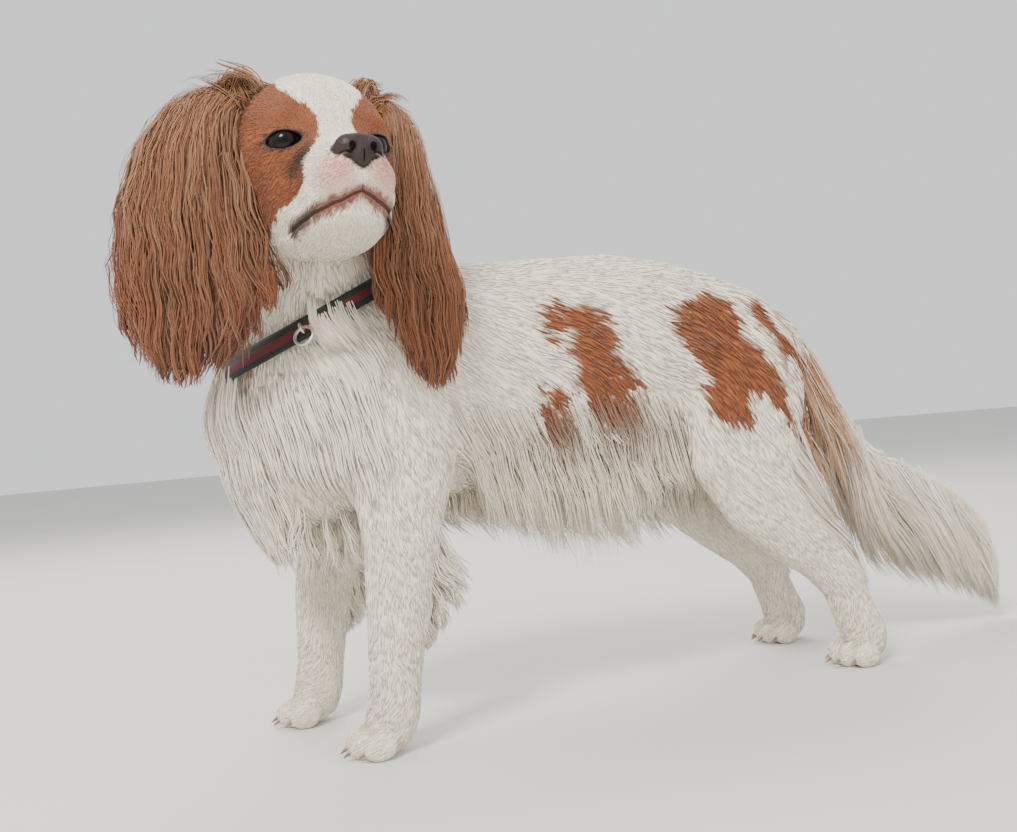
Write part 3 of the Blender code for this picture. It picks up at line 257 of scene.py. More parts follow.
# Fins of long coat in a plane fore and aft: one edge, other edge, half thickness.
FEATHER = (
    ((-0.055, 0.168), (-0.036, 0.160), 0.005),
    ((-0.056, 0.145), (-0.021, 0.137), 0.009),
    ((-0.060, 0.120), (-0.010, 0.111), 0.009),
    ((-0.064, 0.098), (-0.017, 0.091), 0.008),
    ((-0.068, 0.078), (-0.036, 0.070), 0.006),
    ((-0.068, 0.066), (-0.050, 0.062), 0.004),
)
TROUSERS = (
    ((0.232, 0.228), (0.262, 0.214), 0.010),
    ((0.228, 0.198), (0.266, 0.184), 0.014),
    ((0.230, 0.165), (0.276, 0.147), 0.015),
    ((0.245, 0.130), (0.288, 0.112), 0.013),
    ((0.265, 0.104), (0.299, 0.084), 0.011),
    ((0.281, 0.080), (0.308, 0.062), 0.009),
    ((0.288, 0.062), (0.306, 0.054), 0.006),
)
PLUME = (
    ((0.316, 0.226), (0.314, 0.186), 0.010),
    ((0.328, 0.208), (0.321, 0.138), 0.014),
    ((0.347, 0.180), (0.336, 0.092), 0.016),
    ((0.362, 0.160), (0.356, 0.058), 0.016),
    ((0.410, 0.138), (0.392, 0.038), 0.015),
    ((0.450, 0.114), (0.428, 0.026), 0.013),
    ((0.480, 0.082), (0.462, 0.016), 0.010),
    ((0.492, 0.050), (0.486, 0.010), 0.006),
)

# Collar: the middle of its loop, its lie, the band's width and thickness, and its stand-off.
COLLAR_AT = Vector((0.0045, -0.0930, 0.2935))
COLLAR_LIE = Vector((0.05, -0.450, 0.890)).normalized()
BAND_WIDTH = 13.0 * MM
BAND_THICKNESS = 2.4 * MM
BAND_OFF = 1.4 * MM
# Ring that hangs from the collar, and the eye that carries it.
RING_TURN = math.radians(64.0)
RING_RADIUS = 6.5 * MM
RING_WIRE = 1.1 * MM
LOOP_RADIUS = 3.0 * MM
LOOP_WIRE = 1.0 * MM

# Ears: three guide lines from the root down, inner edge, middle and outer edge.
EAR_GUIDES = {
    -1: (
        (
            (0.082, -0.146, 0.416),
            (0.088, -0.152, 0.400),
            (0.089, -0.152, 0.372),
            (0.088, -0.148, 0.335),
            (0.087, -0.142, 0.300),
            (0.083, -0.147, 0.270),
        ),
        (
            (0.068, -0.153, 0.428),
            (0.077, -0.170, 0.420),
            (0.080, -0.186, 0.380),
            (0.076, -0.190, 0.335),
            (0.073, -0.188, 0.290),
            (0.068, -0.190, 0.244),
        ),
        (
            (0.052, -0.153, 0.426),
            (0.060, -0.178, 0.424),
            (0.064, -0.207, 0.395),
            (0.059, -0.222, 0.350),
            (0.056, -0.226, 0.305),
            (0.056, -0.219, 0.266),
        ),
    ),
    1: (
        (
            (0.071, -0.056, 0.416),
            (0.078, -0.058, 0.398),
            (0.083, -0.066, 0.366),
            (0.082, -0.065, 0.330),
            (0.082, -0.063, 0.295),
            (0.082, -0.058, 0.262),
        ),
        (
            (0.058, -0.053, 0.428),
            (0.068, -0.040, 0.414),
            (0.080, -0.041, 0.372),
            (0.085, -0.040, 0.328),
            (0.089, -0.037, 0.280),
            (0.089, -0.040, 0.230),
        ),
        (
            (0.042, -0.056, 0.426),
            (0.052, -0.034, 0.416),
            (0.066, -0.024, 0.376),
            (0.078, -0.022, 0.330),
            (0.088, -0.016, 0.285),
            (0.089, -0.024, 0.250),
        ),
    ),
}
# Where an ear leaves the head, in the head's terms.
EAR_ROOT = (0.034, -0.047, 0.028)

# Ways of the coat in the dog's frame: place, direction, length in mm, lift in degrees; sides mirror.
BODY_LIE = (
    ((0.000, 0.000, 0.332), (0.0, 1.0, -0.10), 13, 7),
    ((0.000, 0.070, 0.332), (0.0, 1.0, 0.00), 13, 6),
    ((0.000, 0.130, 0.335), (0.0, 1.0, -0.05), 13, 6),
    ((0.000, 0.200, 0.320), (0.0, 1.0, -0.25), 14, 7),
    ((0.000, 0.265, 0.290), (0.0, 0.8, -0.60), 16, 9),
    ((0.000, 0.300, 0.255), (0.0, 0.5, -0.85), 20, 12),
    ((0.060, -0.090, 0.270), (0.3, 0.5, -0.80), 17, 9),
    ((0.070, -0.070, 0.230), (0.1, 0.2, -1.00), 14, 8),
    ((0.070, -0.010, 0.250), (0.1, 0.8, -0.60), 15, 7),
    ((0.070, 0.050, 0.270), (0.1, 0.9, -0.45), 15, 7),
    ((0.070, 0.050, 0.200), (0.0, 0.75, -0.70), 17, 8),
    ((0.066, 0.110, 0.220), (0.0, 0.75, -0.70), 18, 8),
    ((0.060, 0.150, 0.250), (0.1, 0.9, -0.45), 17, 8),
    ((0.050, 0.160, 0.190), (0.0, 0.45, -0.90), 22, 10),
    ((0.030, 0.080, 0.170), (0.0, 0.60, -0.80), 22, 10),
    ((0.000, 0.050, 0.160), (0.0, 0.70, -0.50), 16, 10),
    ((0.000, -0.168, 0.240), (0.0, 0.1, -1.00), 20, 11),
    ((0.045, -0.145, 0.240), (0.25, 0.1, -1.00), 20, 10),
    ((0.000, -0.150, 0.180), (0.0, 0.2, -1.00), 18, 10),
    ((0.000, -0.080, 0.155), (0.0, 0.8, -0.60), 14, 9),
    ((0.065, 0.210, 0.260), (0.1, 0.6, -0.80), 17, 8),
    ((0.070, 0.200, 0.210), (0.0, 0.35, -0.95), 14, 8),
    ((0.065, 0.250, 0.210), (0.0, 0.55, -0.85), 18, 10),
    ((0.030, 0.230, 0.200), (0.0, 0.40, -0.90), 12, 8),
    ((0.056, 0.190, 0.150), (0.0, 0.55, -0.85), 11, 8),
    ((0.060, 0.250, 0.130), (0.0, 0.65, -0.75), 11, 8),
    ((0.056, 0.270, 0.085), (0.0, 0.55, -0.85), 9, 8),
    ((0.056, 0.292, 0.045), (0.0, 0.10, -1.00), 9, 9),
    ((0.056, 0.285, 0.022), (0.0, -0.70, -0.60), 8, 12),
    ((0.056, 0.270, 0.010), (0.0, -0.90, -0.40), 6, 12),
    ((0.057, -0.060, 0.170), (0.0, 0.15, -1.00), 12, 8),
    ((0.057, -0.065, 0.110), (0.0, 0.05, -1.00), 9, 8),
    ((0.057, -0.072, 0.055), (0.0, 0.00, -1.00), 9, 9),
    ((0.057, -0.085, 0.024), (0.0, -0.70, -0.60), 8, 12),
    ((0.057, -0.108, 0.012), (0.0, -0.90, -0.40), 6, 12),
    ((0.000, 0.330, 0.190), (0.0, 0.5, -0.85), 20, 8),
    ((0.000, 0.380, 0.145), (0.0, 0.85, -0.50), 20, 8),
    ((0.000, -0.020, 0.310), (0.0, 0.9, -0.50), 16, 8),
)
# The neck leans to its left, so its ways aren't mirrored.
NECK_LIE = (
    ((-0.035, -0.080, 0.340), (-0.4, 0.40, -0.85), 16, 9),
    ((-0.020, -0.045, 0.300), (-0.2, 0.75, -0.65), 17, 9),
    ((-0.050, -0.110, 0.290), (-0.3, 0.10, -0.95), 18, 10),
    ((0.000, -0.160, 0.300), (-0.1, 0.00, -1.00), 18, 10),
    ((0.060, -0.140, 0.340), (0.0, 0.00, -1.00), 17, 11),
    ((0.065, -0.090, 0.320), (0.1, 0.20, -1.00), 17, 11),
    ((0.080, -0.110, 0.325), (-0.5, 0.00, -0.85), 13, 10),
    ((0.040, -0.050, 0.330), (0.0, 0.60, -0.80), 17, 9),
)
# Ways on the head, in its frame: (left, forward, up), and the same for the direction.
HEAD_LIE = (
    ((0.000, 0.047, -0.010), (0.0, -1.0, 0.25), 2.6, 10),
    ((0.008, 0.040, -0.010), (0.3, -0.9, 0.30), 3.0, 10),
    ((0.000, 0.030, -0.003), (0.0, -0.8, 0.60), 3.2, 10),
    ((0.000, 0.016, 0.009), (0.1, -0.35, 0.95), 4.0, 11),
    ((0.000, 0.002, 0.035), (0.0, -0.6, 0.80), 5.5, 9),
    ((0.014, 0.000, 0.036), (0.2, -0.6, 0.80), 6.0, 9),
    ((0.000, -0.030, 0.054), (0.0, -1.0, 0.05), 8.0, 9),
    ((0.025, -0.030, 0.047), (0.4, -0.9, 0.00), 9.0, 10),
    ((0.000, -0.075, 0.040), (0.0, -0.5, -0.85), 11, 10),
    ((0.035, -0.060, 0.030), (0.5, -0.7, -0.50), 12, 12),
    ((0.045, -0.028, 0.020), (0.2, -0.9, 0.10), 8.0, 9),
    ((0.026, 0.006, 0.016), (0.4, -0.3, 0.85), 3.6, 10),
    ((0.042, -0.010, 0.004), (0.2, -0.95, -0.10), 5.0, 9),
    ((0.014, 0.018, 0.000), (-0.1, -0.6, 0.80), 3.0, 11),
    ((0.026, 0.010, -0.014), (0.5, -0.5, -0.70), 3.4, 10),
    ((0.040, -0.010, -0.020), (0.2, -0.8, -0.55), 5.0, 9),
    ((0.044, -0.035, -0.030), (0.0, -0.75, -0.65), 8.0, 10),
    ((0.020, 0.040, -0.022), (0.5, -0.75, -0.10), 2.6, 10),
    ((0.022, 0.030, -0.032), (0.4, -0.8, -0.40), 3.4, 10),
    ((0.024, 0.018, -0.044), (0.3, -0.7, -0.65), 4.0, 10),
    ((0.010, 0.050, -0.037), (0.7, -0.2, -0.70), 2.6, 11),
    ((0.000, 0.040, -0.062), (0.1, -0.5, -0.85), 4.0, 11),
    ((0.000, 0.020, -0.073), (0.1, -0.95, -0.20), 6.0, 11),
    ((0.026, 0.008, -0.062), (0.2, -0.85, -0.50), 6.0, 11),
    ((0.034, -0.020, -0.056), (0.1, -0.80, -0.60), 8.0, 11),
    ((0.000, -0.030, -0.070), (0.0, -0.85, -0.55), 11, 12),
)

# Chestnut patches seen from the left, as (back, up) outlines; the right side has its own.
PATCHES_LEFT = (
    (
        (0.044, 0.276), (0.046, 0.284), (0.052, 0.290), (0.060, 0.291), (0.061, 0.301),
        (0.068, 0.291), (0.077, 0.286), (0.090, 0.288), (0.102, 0.282), (0.106, 0.267),
        (0.106, 0.253), (0.114, 0.242), (0.124, 0.229), (0.116, 0.217), (0.113, 0.203),
        (0.104, 0.197), (0.090, 0.201), (0.079, 0.208), (0.074, 0.222), (0.069, 0.237),
        (0.068, 0.251), (0.063, 0.256), (0.068, 0.265), (0.060, 0.259), (0.053, 0.257),
        (0.046, 0.265),
    ),
    (
        (0.043, 0.230), (0.060, 0.230), (0.066, 0.217), (0.064, 0.201), (0.060, 0.184),
        (0.052, 0.166), (0.042, 0.160), (0.032, 0.165), (0.030, 0.183), (0.033, 0.200),
        (0.037, 0.216),
    ),
    (
        (0.150, 0.278), (0.161, 0.288), (0.180, 0.292), (0.204, 0.292), (0.214, 0.285),
        (0.213, 0.271), (0.217, 0.257), (0.224, 0.244), (0.233, 0.234), (0.239, 0.219),
        (0.241, 0.204), (0.250, 0.186), (0.255, 0.168), (0.238, 0.182), (0.229, 0.198),
        (0.217, 0.208), (0.204, 0.211), (0.208, 0.198), (0.204, 0.187), (0.192, 0.186),
        (0.180, 0.193), (0.172, 0.201), (0.170, 0.214), (0.177, 0.226), (0.173, 0.238),
        (0.162, 0.246), (0.155, 0.260),
    ),
    (
        (0.226, 0.286), (0.240, 0.290), (0.247, 0.280), (0.246, 0.264), (0.256, 0.252),
        (0.272, 0.246), (0.289, 0.232), (0.284, 0.216), (0.262, 0.230), (0.244, 0.246),
        (0.232, 0.258), (0.224, 0.272),
    ),
)
PATCHES_RIGHT = (
    (
        (0.010, 0.300), (0.045, 0.310), (0.080, 0.290), (0.090, 0.255), (0.070, 0.225),
        (0.040, 0.222), (0.020, 0.250),
    ),
    ((0.110, 0.250), (0.130, 0.246), (0.128, 0.212), (0.104, 0.200), (0.098, 0.226)),
    (
        (0.170, 0.292), (0.205, 0.300), (0.240, 0.280), (0.262, 0.240), (0.262, 0.200),
        (0.226, 0.196), (0.190, 0.215), (0.172, 0.250),
    ),
    (
        (0.241, 0.289), (0.254, 0.288), (0.284, 0.255), (0.309, 0.221), (0.318, 0.196),
        (0.295, 0.190), (0.280, 0.223), (0.255, 0.256),
    ),
)
# Chestnut of the face and cheeks, as (forward, up) seen from the side of the head.
MASK = (
    (0.0235, 0.0010), (0.0276, -0.0101), (0.0229, -0.0176), (0.0275, -0.0275),
    (0.0148, -0.0361), (-0.0049, -0.0452), (-0.0264, -0.0490), (-0.0535, -0.0500),
    (-0.0780, -0.0440), (-0.1000, -0.0300), (-0.1000, 0.0700), (0.0300, 0.0700),
    (0.0180, 0.0096),
)
# Half width of the white blaze on the skull by height over the eyes.
BLAZE_HEIGHTS = (-0.010, 0.000, 0.006, 0.011, 0.019, 0.026, 0.034, 0.060)
BLAZE_WIDTHS = (0.0125, 0.0115, 0.0095, 0.0095, 0.0130, 0.0190, 0.0250, 0.0260)


class SpanielSizes(bpy.types.PropertyGroup):
    """Depths and counts of the coat."""

    skin_voxel: FloatProperty(
        name="Skin grain", description="Edge of the skin's fine faces",
        default=1.4 * MM, unit="LENGTH",
    )
    body_depth: FloatProperty(
        name="Body coat depth", description="How deep the skin lies under the body's outline",
        default=3.4 * MM, unit="LENGTH",
    )
    head_depth: FloatProperty(
        name="Head coat depth", description="How deep the skin lies under the head's outline",
        default=0.9 * MM, unit="LENGTH",
    )
    tuft_width: FloatProperty(
        name="Tuft width", description="Width of a tuft of short coat on the back",
        default=2.5 * MM, unit="LENGTH",
    )
    body_tufts: IntProperty(
        name="Body tufts", description="Tufts of short coat on trunk, neck and legs",
        default=36000,
    )
    head_tufts: IntProperty(
        name="Head tufts", description="Tufts of short coat on the head", default=17500,
    )


class SpanielColours(bpy.types.PropertyGroup):
    """Colours of the coat, skin, eyes, nose and collar."""

    white: FloatVectorProperty(
        name="White coat", description="Colour of the white coat", subtype="COLOR",
        default=(0.87, 0.79, 0.665),
    )
    chestnut: FloatVectorProperty(
        name="Chestnut coat", description="Colour of the chestnut coat", subtype="COLOR",
        default=(0.212, 0.060, 0.0160),
    )
    ear: FloatVectorProperty(
        name="Ear coat", description="Colour of the long hair of the ears", subtype="COLOR",
        default=(0.255, 0.095, 0.035),
    )
    ear_low: FloatVectorProperty(
        name="Ear tips", description="Colour of the lowest hair of the ears", subtype="COLOR",
        default=(0.215, 0.058, 0.016),
    )
    pale_hair: FloatVectorProperty(
        name="Bleached hair", description="Colour of hair bleached by the sun", subtype="COLOR",
        default=(0.43, 0.235, 0.125),
    )
    bare_skin: FloatVectorProperty(
        name="Bare skin", description="Colour of bare skin by the nose and lips",
        subtype="COLOR", default=(0.70, 0.36, 0.29),
    )
    lips: FloatVectorProperty(
        name="Lips", description="Colour of the lips", subtype="COLOR",
        default=(0.250, 0.080, 0.055),
    )
    rim: FloatVectorProperty(
        name="Eye rims", description="Colour of the lids' edges and the mouth's corners",
        subtype="COLOR", default=(0.030, 0.016, 0.012),
    )
    nose: FloatVectorProperty(
        name="Nose", description="Colour of the nose leather", subtype="COLOR",
        default=(0.021, 0.013, 0.012),
    )
    iris: FloatVectorProperty(
        name="Iris", description="Colour of the iris", subtype="COLOR",
        default=(0.012, 0.005, 0.003),
    )
    collar_edge: FloatVectorProperty(
        name="Collar edge", description="Colour of the webbing's edges", subtype="COLOR",
        default=(0.012, 0.020, 0.016),
    )
    collar_middle: FloatVectorProperty(
        name="Collar middle", description="Colour of the webbing's middle stripe",
        subtype="COLOR", default=(0.11, 0.012, 0.016),
    )


def sizes():
    return bpy.context.scene.spaniel_sizes


def colours():
    return bpy.context.scene.spaniel_colours


def evaluated_mesh(obj):
    graph = bpy.context.evaluated_depsgraph_get()
    return bpy.data.meshes.new_from_object(obj.evaluated_get(graph))


def mesh_from(bm, name="piece"):
    bmesh.ops.recalc_face_normals(bm, faces=bm.faces)
    mesh = bpy.data.meshes.new(name)
    bmesh.ops.triangulate(bm, faces=bm.faces)
    bm.to_mesh(mesh)
    bm.free()
    return mesh


def with_modifier(mesh, kind, **settings):
    """The mesh as one modifier leaves it."""
    holder = bpy.data.objects.new("holder", mesh)
    bpy.context.scene.collection.objects.link(holder)
    group = settings.pop("group", None)
    modifier = holder.modifiers.new("work", kind)
    for name, value in settings.items():
        setattr(modifier, name, value)
    if group:
        weights = holder.vertex_groups.new(name="share")
        for vertex in mesh.vertices:
            weights.add((vertex.index,), group(vertex.co), "REPLACE")
        modifier.vertex_group = "share"
    made = evaluated_mesh(holder)
    bpy.data.objects.remove(holder)
    return made


def fused(mesh, voxel):
    return with_modifier(mesh, "REMESH", mode="VOXEL", voxel_size=voxel)


def boolean(mesh, others, operation):
    """Joins, cuts or intersects a mesh with other meshes, all in one go."""
    helpers = bpy.data.collections.new("helpers")
    for other in others:
        helpers.objects.link(bpy.data.objects.new("helper", other))
    bpy.context.scene.collection.children.link(helpers)
    made = with_modifier(
        mesh,
        "BOOLEAN",
        operation=operation,
        operand_type="COLLECTION",
        collection=helpers,
        solver="MANIFOLD",
    )
    for helper in list(helpers.objects):
        bpy.data.objects.remove(helper)
    bpy.data.collections.remove(helpers)
    return made


def tree_of(mesh):
    bm = bmesh.new()
    bm.from_mesh(mesh)
    tree = BVHTree.FromBMesh(bm)
    bm.free()
    return tree


def ring(centre, across, along, half_across, half_along, sides):
    """Points of an ellipse round a centre."""
    turns = [2 * math.pi * step / sides for step in range(sides)]
    return [
        centre + across * (half_across * math.cos(t)) + along * (half_along * math.sin(t))
        for t in turns
    ]


def loft(bm, rings):
    """Bridges closed rings of points and caps both ends."""
    rows = [[bm.verts.new(point) for point in points] for points in rings]
    for first, second in zip(rows, rows[1:]):
        for i in range(len(first)):
            j = (i + 1) % len(first)
            bm.faces.new((first[i], first[j], second[j], second[i]))
    bm.faces.new(rows[0][::-1])
    bm.faces.new(rows[-1])


def ball(bm, centre, radii, place=None, segments=20):
    """An ellipsoid with its radii along the axes of place."""
    size = Matrix.Diagonal((*radii, 1.0))
    bmesh.ops.create_uvsphere(
        bm,
        u_segments=segments,
        v_segments=segments // 2,
        radius=1.0,
        matrix=(place or Matrix()) @ Matrix.Translation(centre) @ size,
    )


def tube_rings(stations, sides=20):
    """Rings along a limb: stations are (centre, half width along X, half depth)."""
    centres = [Vector(station[0]) for station in stations]
    rings = []
    for i, station in enumerate(stations):
        before = centres[max(i - 1, 0)]
        after = centres[min(i + 1, len(centres) - 1)]
        along = (after - before).normalized()
        depth = along.cross(LEFT).normalized()
        across = depth.cross(along).normalized()
        rings.append(ring(centres[i], across, depth, station[1], station[-1], sides))
    return rings


def leg_stations(stations, side, step):
    """A leg of one side, its lower part moved back by the step."""
    made = []
    for (out, back, height), wide, deep in stations:
        share = min(1.0, max(0.0, (STEP_STARTS - height) / (STEP_STARTS - STEP_FULL)))
        made.append(((side * out, back + step * share, height), wide, deep))
    return made


def head_place():
    """Matrix from the head's own frame to the dog's."""
    turned = Matrix.Rotation(HEAD_TURN, 4, "Z") @ Matrix.Rotation(-HEAD_LIFT, 4, "X")
    return Matrix.Translation(EYES_AT) @ turned


def in_head(left, forward, up):
    return Vector((left, -forward, up))


def head_sections(bm, sections):
    place = head_place()
    rings = []
    for forward, half_width, top, bottom in sections:
        centre = in_head(0, forward, (top + bottom) / 2)
        points = ring(centre, LEFT, UP, half_width, (top - bottom) / 2, 28)
        rings.append([place @ point for point in points])
    loft(bm, rings)


def add_masses(bm, masses, segments=20):
    """Ellipsoids on both sides of the head, or one where it lies in the middle."""
    for (left, forward, up), radii in masses:
        for side in (1, -1) if left else (1,):
            ball(bm, in_head(side * left, forward, up), radii, head_place(), segments)


def toe_centres(toes_at, side, step):
    for number, ahead in enumerate(TOE_AHEAD):
        out = (number - 1.5) * TOE_SPREAD
        yield Vector(
            (side * toes_at.x + out, toes_at.y + step - ahead, TOE_RADII[2] * 0.96)
        )


def push_head(mesh):
    """Hollows and swells the face softly at its landmarks."""
    place = head_place()
    moves = [Vector() for _ in mesh.vertices]
    for (left, forward, up), reach, height in HEAD_PUSHES:
        for side in (1, -1) if left else (1,):
            centre = place @ in_head(side * left, forward, up)
            for vertex in mesh.vertices:
                distance = (vertex.co - centre).length
                if distance < 3 * reach:
                    share = math.exp(-((distance / reach) ** 2))
                    moves[vertex.index] += vertex.normal * (height * share)
    for vertex, move in zip(mesh.vertices, moves):
        vertex.co += move
    mesh.update()


def almond(place, side):
    """Prism that opens the lids in front of one eye."""
    bm = bmesh.new()
    half_wide, half_tall = EYE_OPENING[0] / 2, EYE_OPENING[1] / 2
    rings = []
    for reach in (0.004, 0.030):
        points = []
        for step in range(16):
            turn = 2 * math.pi * step / 16
            tall = half_tall * math.sin(turn)
            points.append(Vector((half_wide * math.cos(turn), -reach, tall)))
        rings.append([place @ point for point in points])
    loft(bm, rings)
    return mesh_from(bm)


def eye_place(side):
    """Frame of one eye, looking along its own -Y."""
    left, forward, up = EYE_AT
    turn = Matrix.Rotation(side * EYE_LOOKS_OUT, 4, "Z")
    return head_place() @ Matrix.Translation(in_head(side * left, forward, up)) @ turn


def eye_ball(side, radius, segments=18):
    bm = bmesh.new()
    ball(bm, Vector(), (radius,) * 3, eye_place(side), segments)
    return mesh_from(bm)


def tube(points, radius, sides=8):
    """A closed round tube through points, its ends drawn in."""
    bm = bmesh.new()
    rings = []
    for i, point in enumerate(points):
        along = (points[min(i + 1, len(points) - 1)] - points[max(i - 1, 0)]).normalized()
        across = along.cross(UP if abs(along.z) < 0.9 else LEFT).normalized()
        size = radius * (0.5 if i in (0, len(points) - 1) else 1.0)
        rings.append(ring(point, across, along.cross(across), size, size, sides))
    loft(bm, rings)
    return mesh_from(bm)


def on_surface(tree, points, lift=0.0):
    found = []
    for point in points:
        spot, normal, _, _ = tree.find_nearest(point)
        found.append(spot + normal * lift)
    return found


def mouth_line(tree):
    """Lip line from one corner over the middle to the other."""
    place = head_place()
    points = []
    for step in range(-13, 14):
        share = step / 13
        left = MOUTH_HALF_WIDTH * math.sin(share * math.pi / 2)
        forward = 0.050 - 0.046 * abs(share) ** 1.6
        up = -0.0405 - 0.0155 * abs(share) ** 0.75
        points.append(place @ in_head(left, forward, up))
    return on_surface(tree, points, -0.5 * MM)


def lip_split(tree):
    place = head_place()
    points = [place @ in_head(0, 0.056 - 0.001 * i, -0.0285 - 0.0024 * i) for i in range(6)]
    return on_surface(tree, points)


def along_points(points, share):
    """A point on the smooth curve through the points, by its share of the whole way."""
    place = min(max(share, 0.0), 1.0) * (len(points) - 1)
    i = min(int(place), len(points) - 2)
    t = place - i
    p0, p1 = Vector(points[max(i - 1, 0)]), Vector(points[i])
    p2, p3 = Vector(points[i + 1]), Vector(points[min(i + 2, len(points) - 1)])
    curve = 2 * p1 + (p2 - p0) * t + (2 * p0 - 5 * p1 + 4 * p2 - p3) * t * t
    curve += (3 * p1 - p0 - 3 * p2 + p3) * t ** 3
    return curve / 2


def ear_point(side, across, down):
    """A point of the ear's sheet: across from -1 to 1, down from root 0 to tips 1."""
    inner, middle, outer = (along_points(guide, down) for guide in EAR_GUIDES[side])
    centre = (inner + outer) / 2
    bulge = (middle - centre) * (1 - across * across)
    return centre + (outer - inner) / 2 * across + bulge


def ear_normal(side, across, down):
    step = ear_point(side, across, down + 0.05) - ear_point(side, across, down - 0.05)
    wide = ear_point(side, across + 0.1, down) - ear_point(side, across - 0.1, down)
    return wide.cross(step).normalized() * side


def neck_radius(tree, turn, height):
    """How far the neck reaches from the collar's middle in one direction of its plane."""
    across = LEFT - COLLAR_LIE * LEFT.dot(COLLAR_LIE)
    across.normalize()
    ahead = across.cross(COLLAR_LIE)
    way = across * math.sin(turn) + ahead * math.cos(turn)
    start = COLLAR_AT + COLLAR_LIE * height + way * 0.15
    spot, _, _, distance = tree.ray_cast(start, -way)
    return way, (0.15 - distance) if spot else 0.05


def unit(rows):
    return rows / np.maximum(np.linalg.norm(rows, axis=-1, keepdims=True), 1e-9)


def head_turn():
    return np.array(head_place().to_3x3())


def to_head(points):
    """Points in the head's own terms: left, forward, up."""
    local = (points - np.array(EYES_AT)) @ head_turn()
    return local * (1, -1, 1)


def lie_samples():
    """Every sample of the coat's lie in the dog's frame: places, directions, lengths and lifts."""
    rows = []
    for place, way, length, lift in BODY_LIE:
        for side in (1, -1) if place[0] else (1,):
            rows.append((*place, *way, length, lift))
            rows[-1] = (side * place[0], *place[1:], side * way[0], *way[1:], length, lift)
    for place, way, length, lift in NECK_LIE:
        rows.append((*place, *way, length, lift))
    turn = head_place()
    for (left, forward, up), way, length, lift in HEAD_LIE:
        for side in (1, -1):
            place = turn @ in_head(side * left, forward, up)
            ahead = turn.to_3x3() @ in_head(side * way[0], way[1], way[2])
            rows.append((*place, *ahead, length, lift))
    rows = np.array(rows)
    return rows[:, :3], unit(rows[:, 3:6]), rows[:, 6:]


def lie_at(points, normals):
    """Direction, length in mm and lift in degrees of the coat at points of the skin."""
    places, ways, values = lie_samples()
    out_ways, out_values = [], []
    for some, their in zip(np.array_split(points, 40), np.array_split(normals, 40)):
        apart = ((some[:, None] - places[None]) ** 2).sum(-1)
        nearest = apart.min(1, keepdims=True)
        share = 1 / (apart + 0.25 * nearest + 4e-6) ** 2.2
        share /= share.sum(1, keepdims=True)
        way = share @ ways
        way -= their * (way * their).sum(1, keepdims=True)
        out_ways.append(unit(way))
        out_values.append(share @ values)
    return np.concatenate(out_ways), np.concatenate(out_values)


def ripple(points, scale, seed=0.0):
    """Smooth noise from -1 to 1."""
    x, y, z = (points * (2 * math.pi / scale)).T
    one = np.sin(x + 1.7 * np.sin(0.7 * y + seed) + seed)
    two = np.sin(y + 1.3 * np.sin(0.9 * z + 2.0 * seed) + 1.0)
    three = np.sin(z + 1.5 * np.sin(0.8 * x + 3.0 * seed) + 2.0)
    return (one * two + two * three + three * one) / 2


def depth_in(outline, across, up):
    """How far points lie inside an outline; negative outside."""
    outline = np.array(outline)
    after = np.roll(outline, -1, axis=0)
    spots = np.stack([across, up], -1)
    edge = after - outline
    best = np.full(len(spots), 1e9)
    odd = np.zeros(len(spots), bool)
    for start, end, way in zip(outline, after, edge):
        away = spots - start
        share = np.clip((away @ way) / (way @ way), 0, 1)
        best = np.minimum(best, np.linalg.norm(away - share[:, None] * way, axis=1))
        crosses = (start[1] > spots[:, 1]) != (end[1] > spots[:, 1])
        reach = start[0] + (spots[:, 1] - start[1]) * way[0] / (way[1] or 1e-12)
        odd ^= crosses & (spots[:, 0] < reach)
    return np.where(odd, best, -best)


def blended(base, other, share):
    return base + (np.asarray(other) - base) * np.clip(share, 0, 1)[:, None]


def face_mask(points):
    """Share of chestnut on the head, whose blaze and muzzle are white."""
    left, forward, up = to_head(points).T
    rough = 0.0016 * ripple(points, 0.011) + 0.0006 * ripple(points, 0.004, 2.0)
    blaze = np.interp(up, BLAZE_HEIGHTS, BLAZE_WIDTHS)
    behind = np.clip((-0.015 - forward) / 0.055, 0, 1)
    blaze = blaze * (1 - 0.55 * behind)
    side_share = (np.abs(left) - blaze + rough) / 0.0012
    cheek = depth_in(MASK, forward, up) + rough
    return np.clip(np.minimum(side_share, cheek / 0.0012), 0, 1)


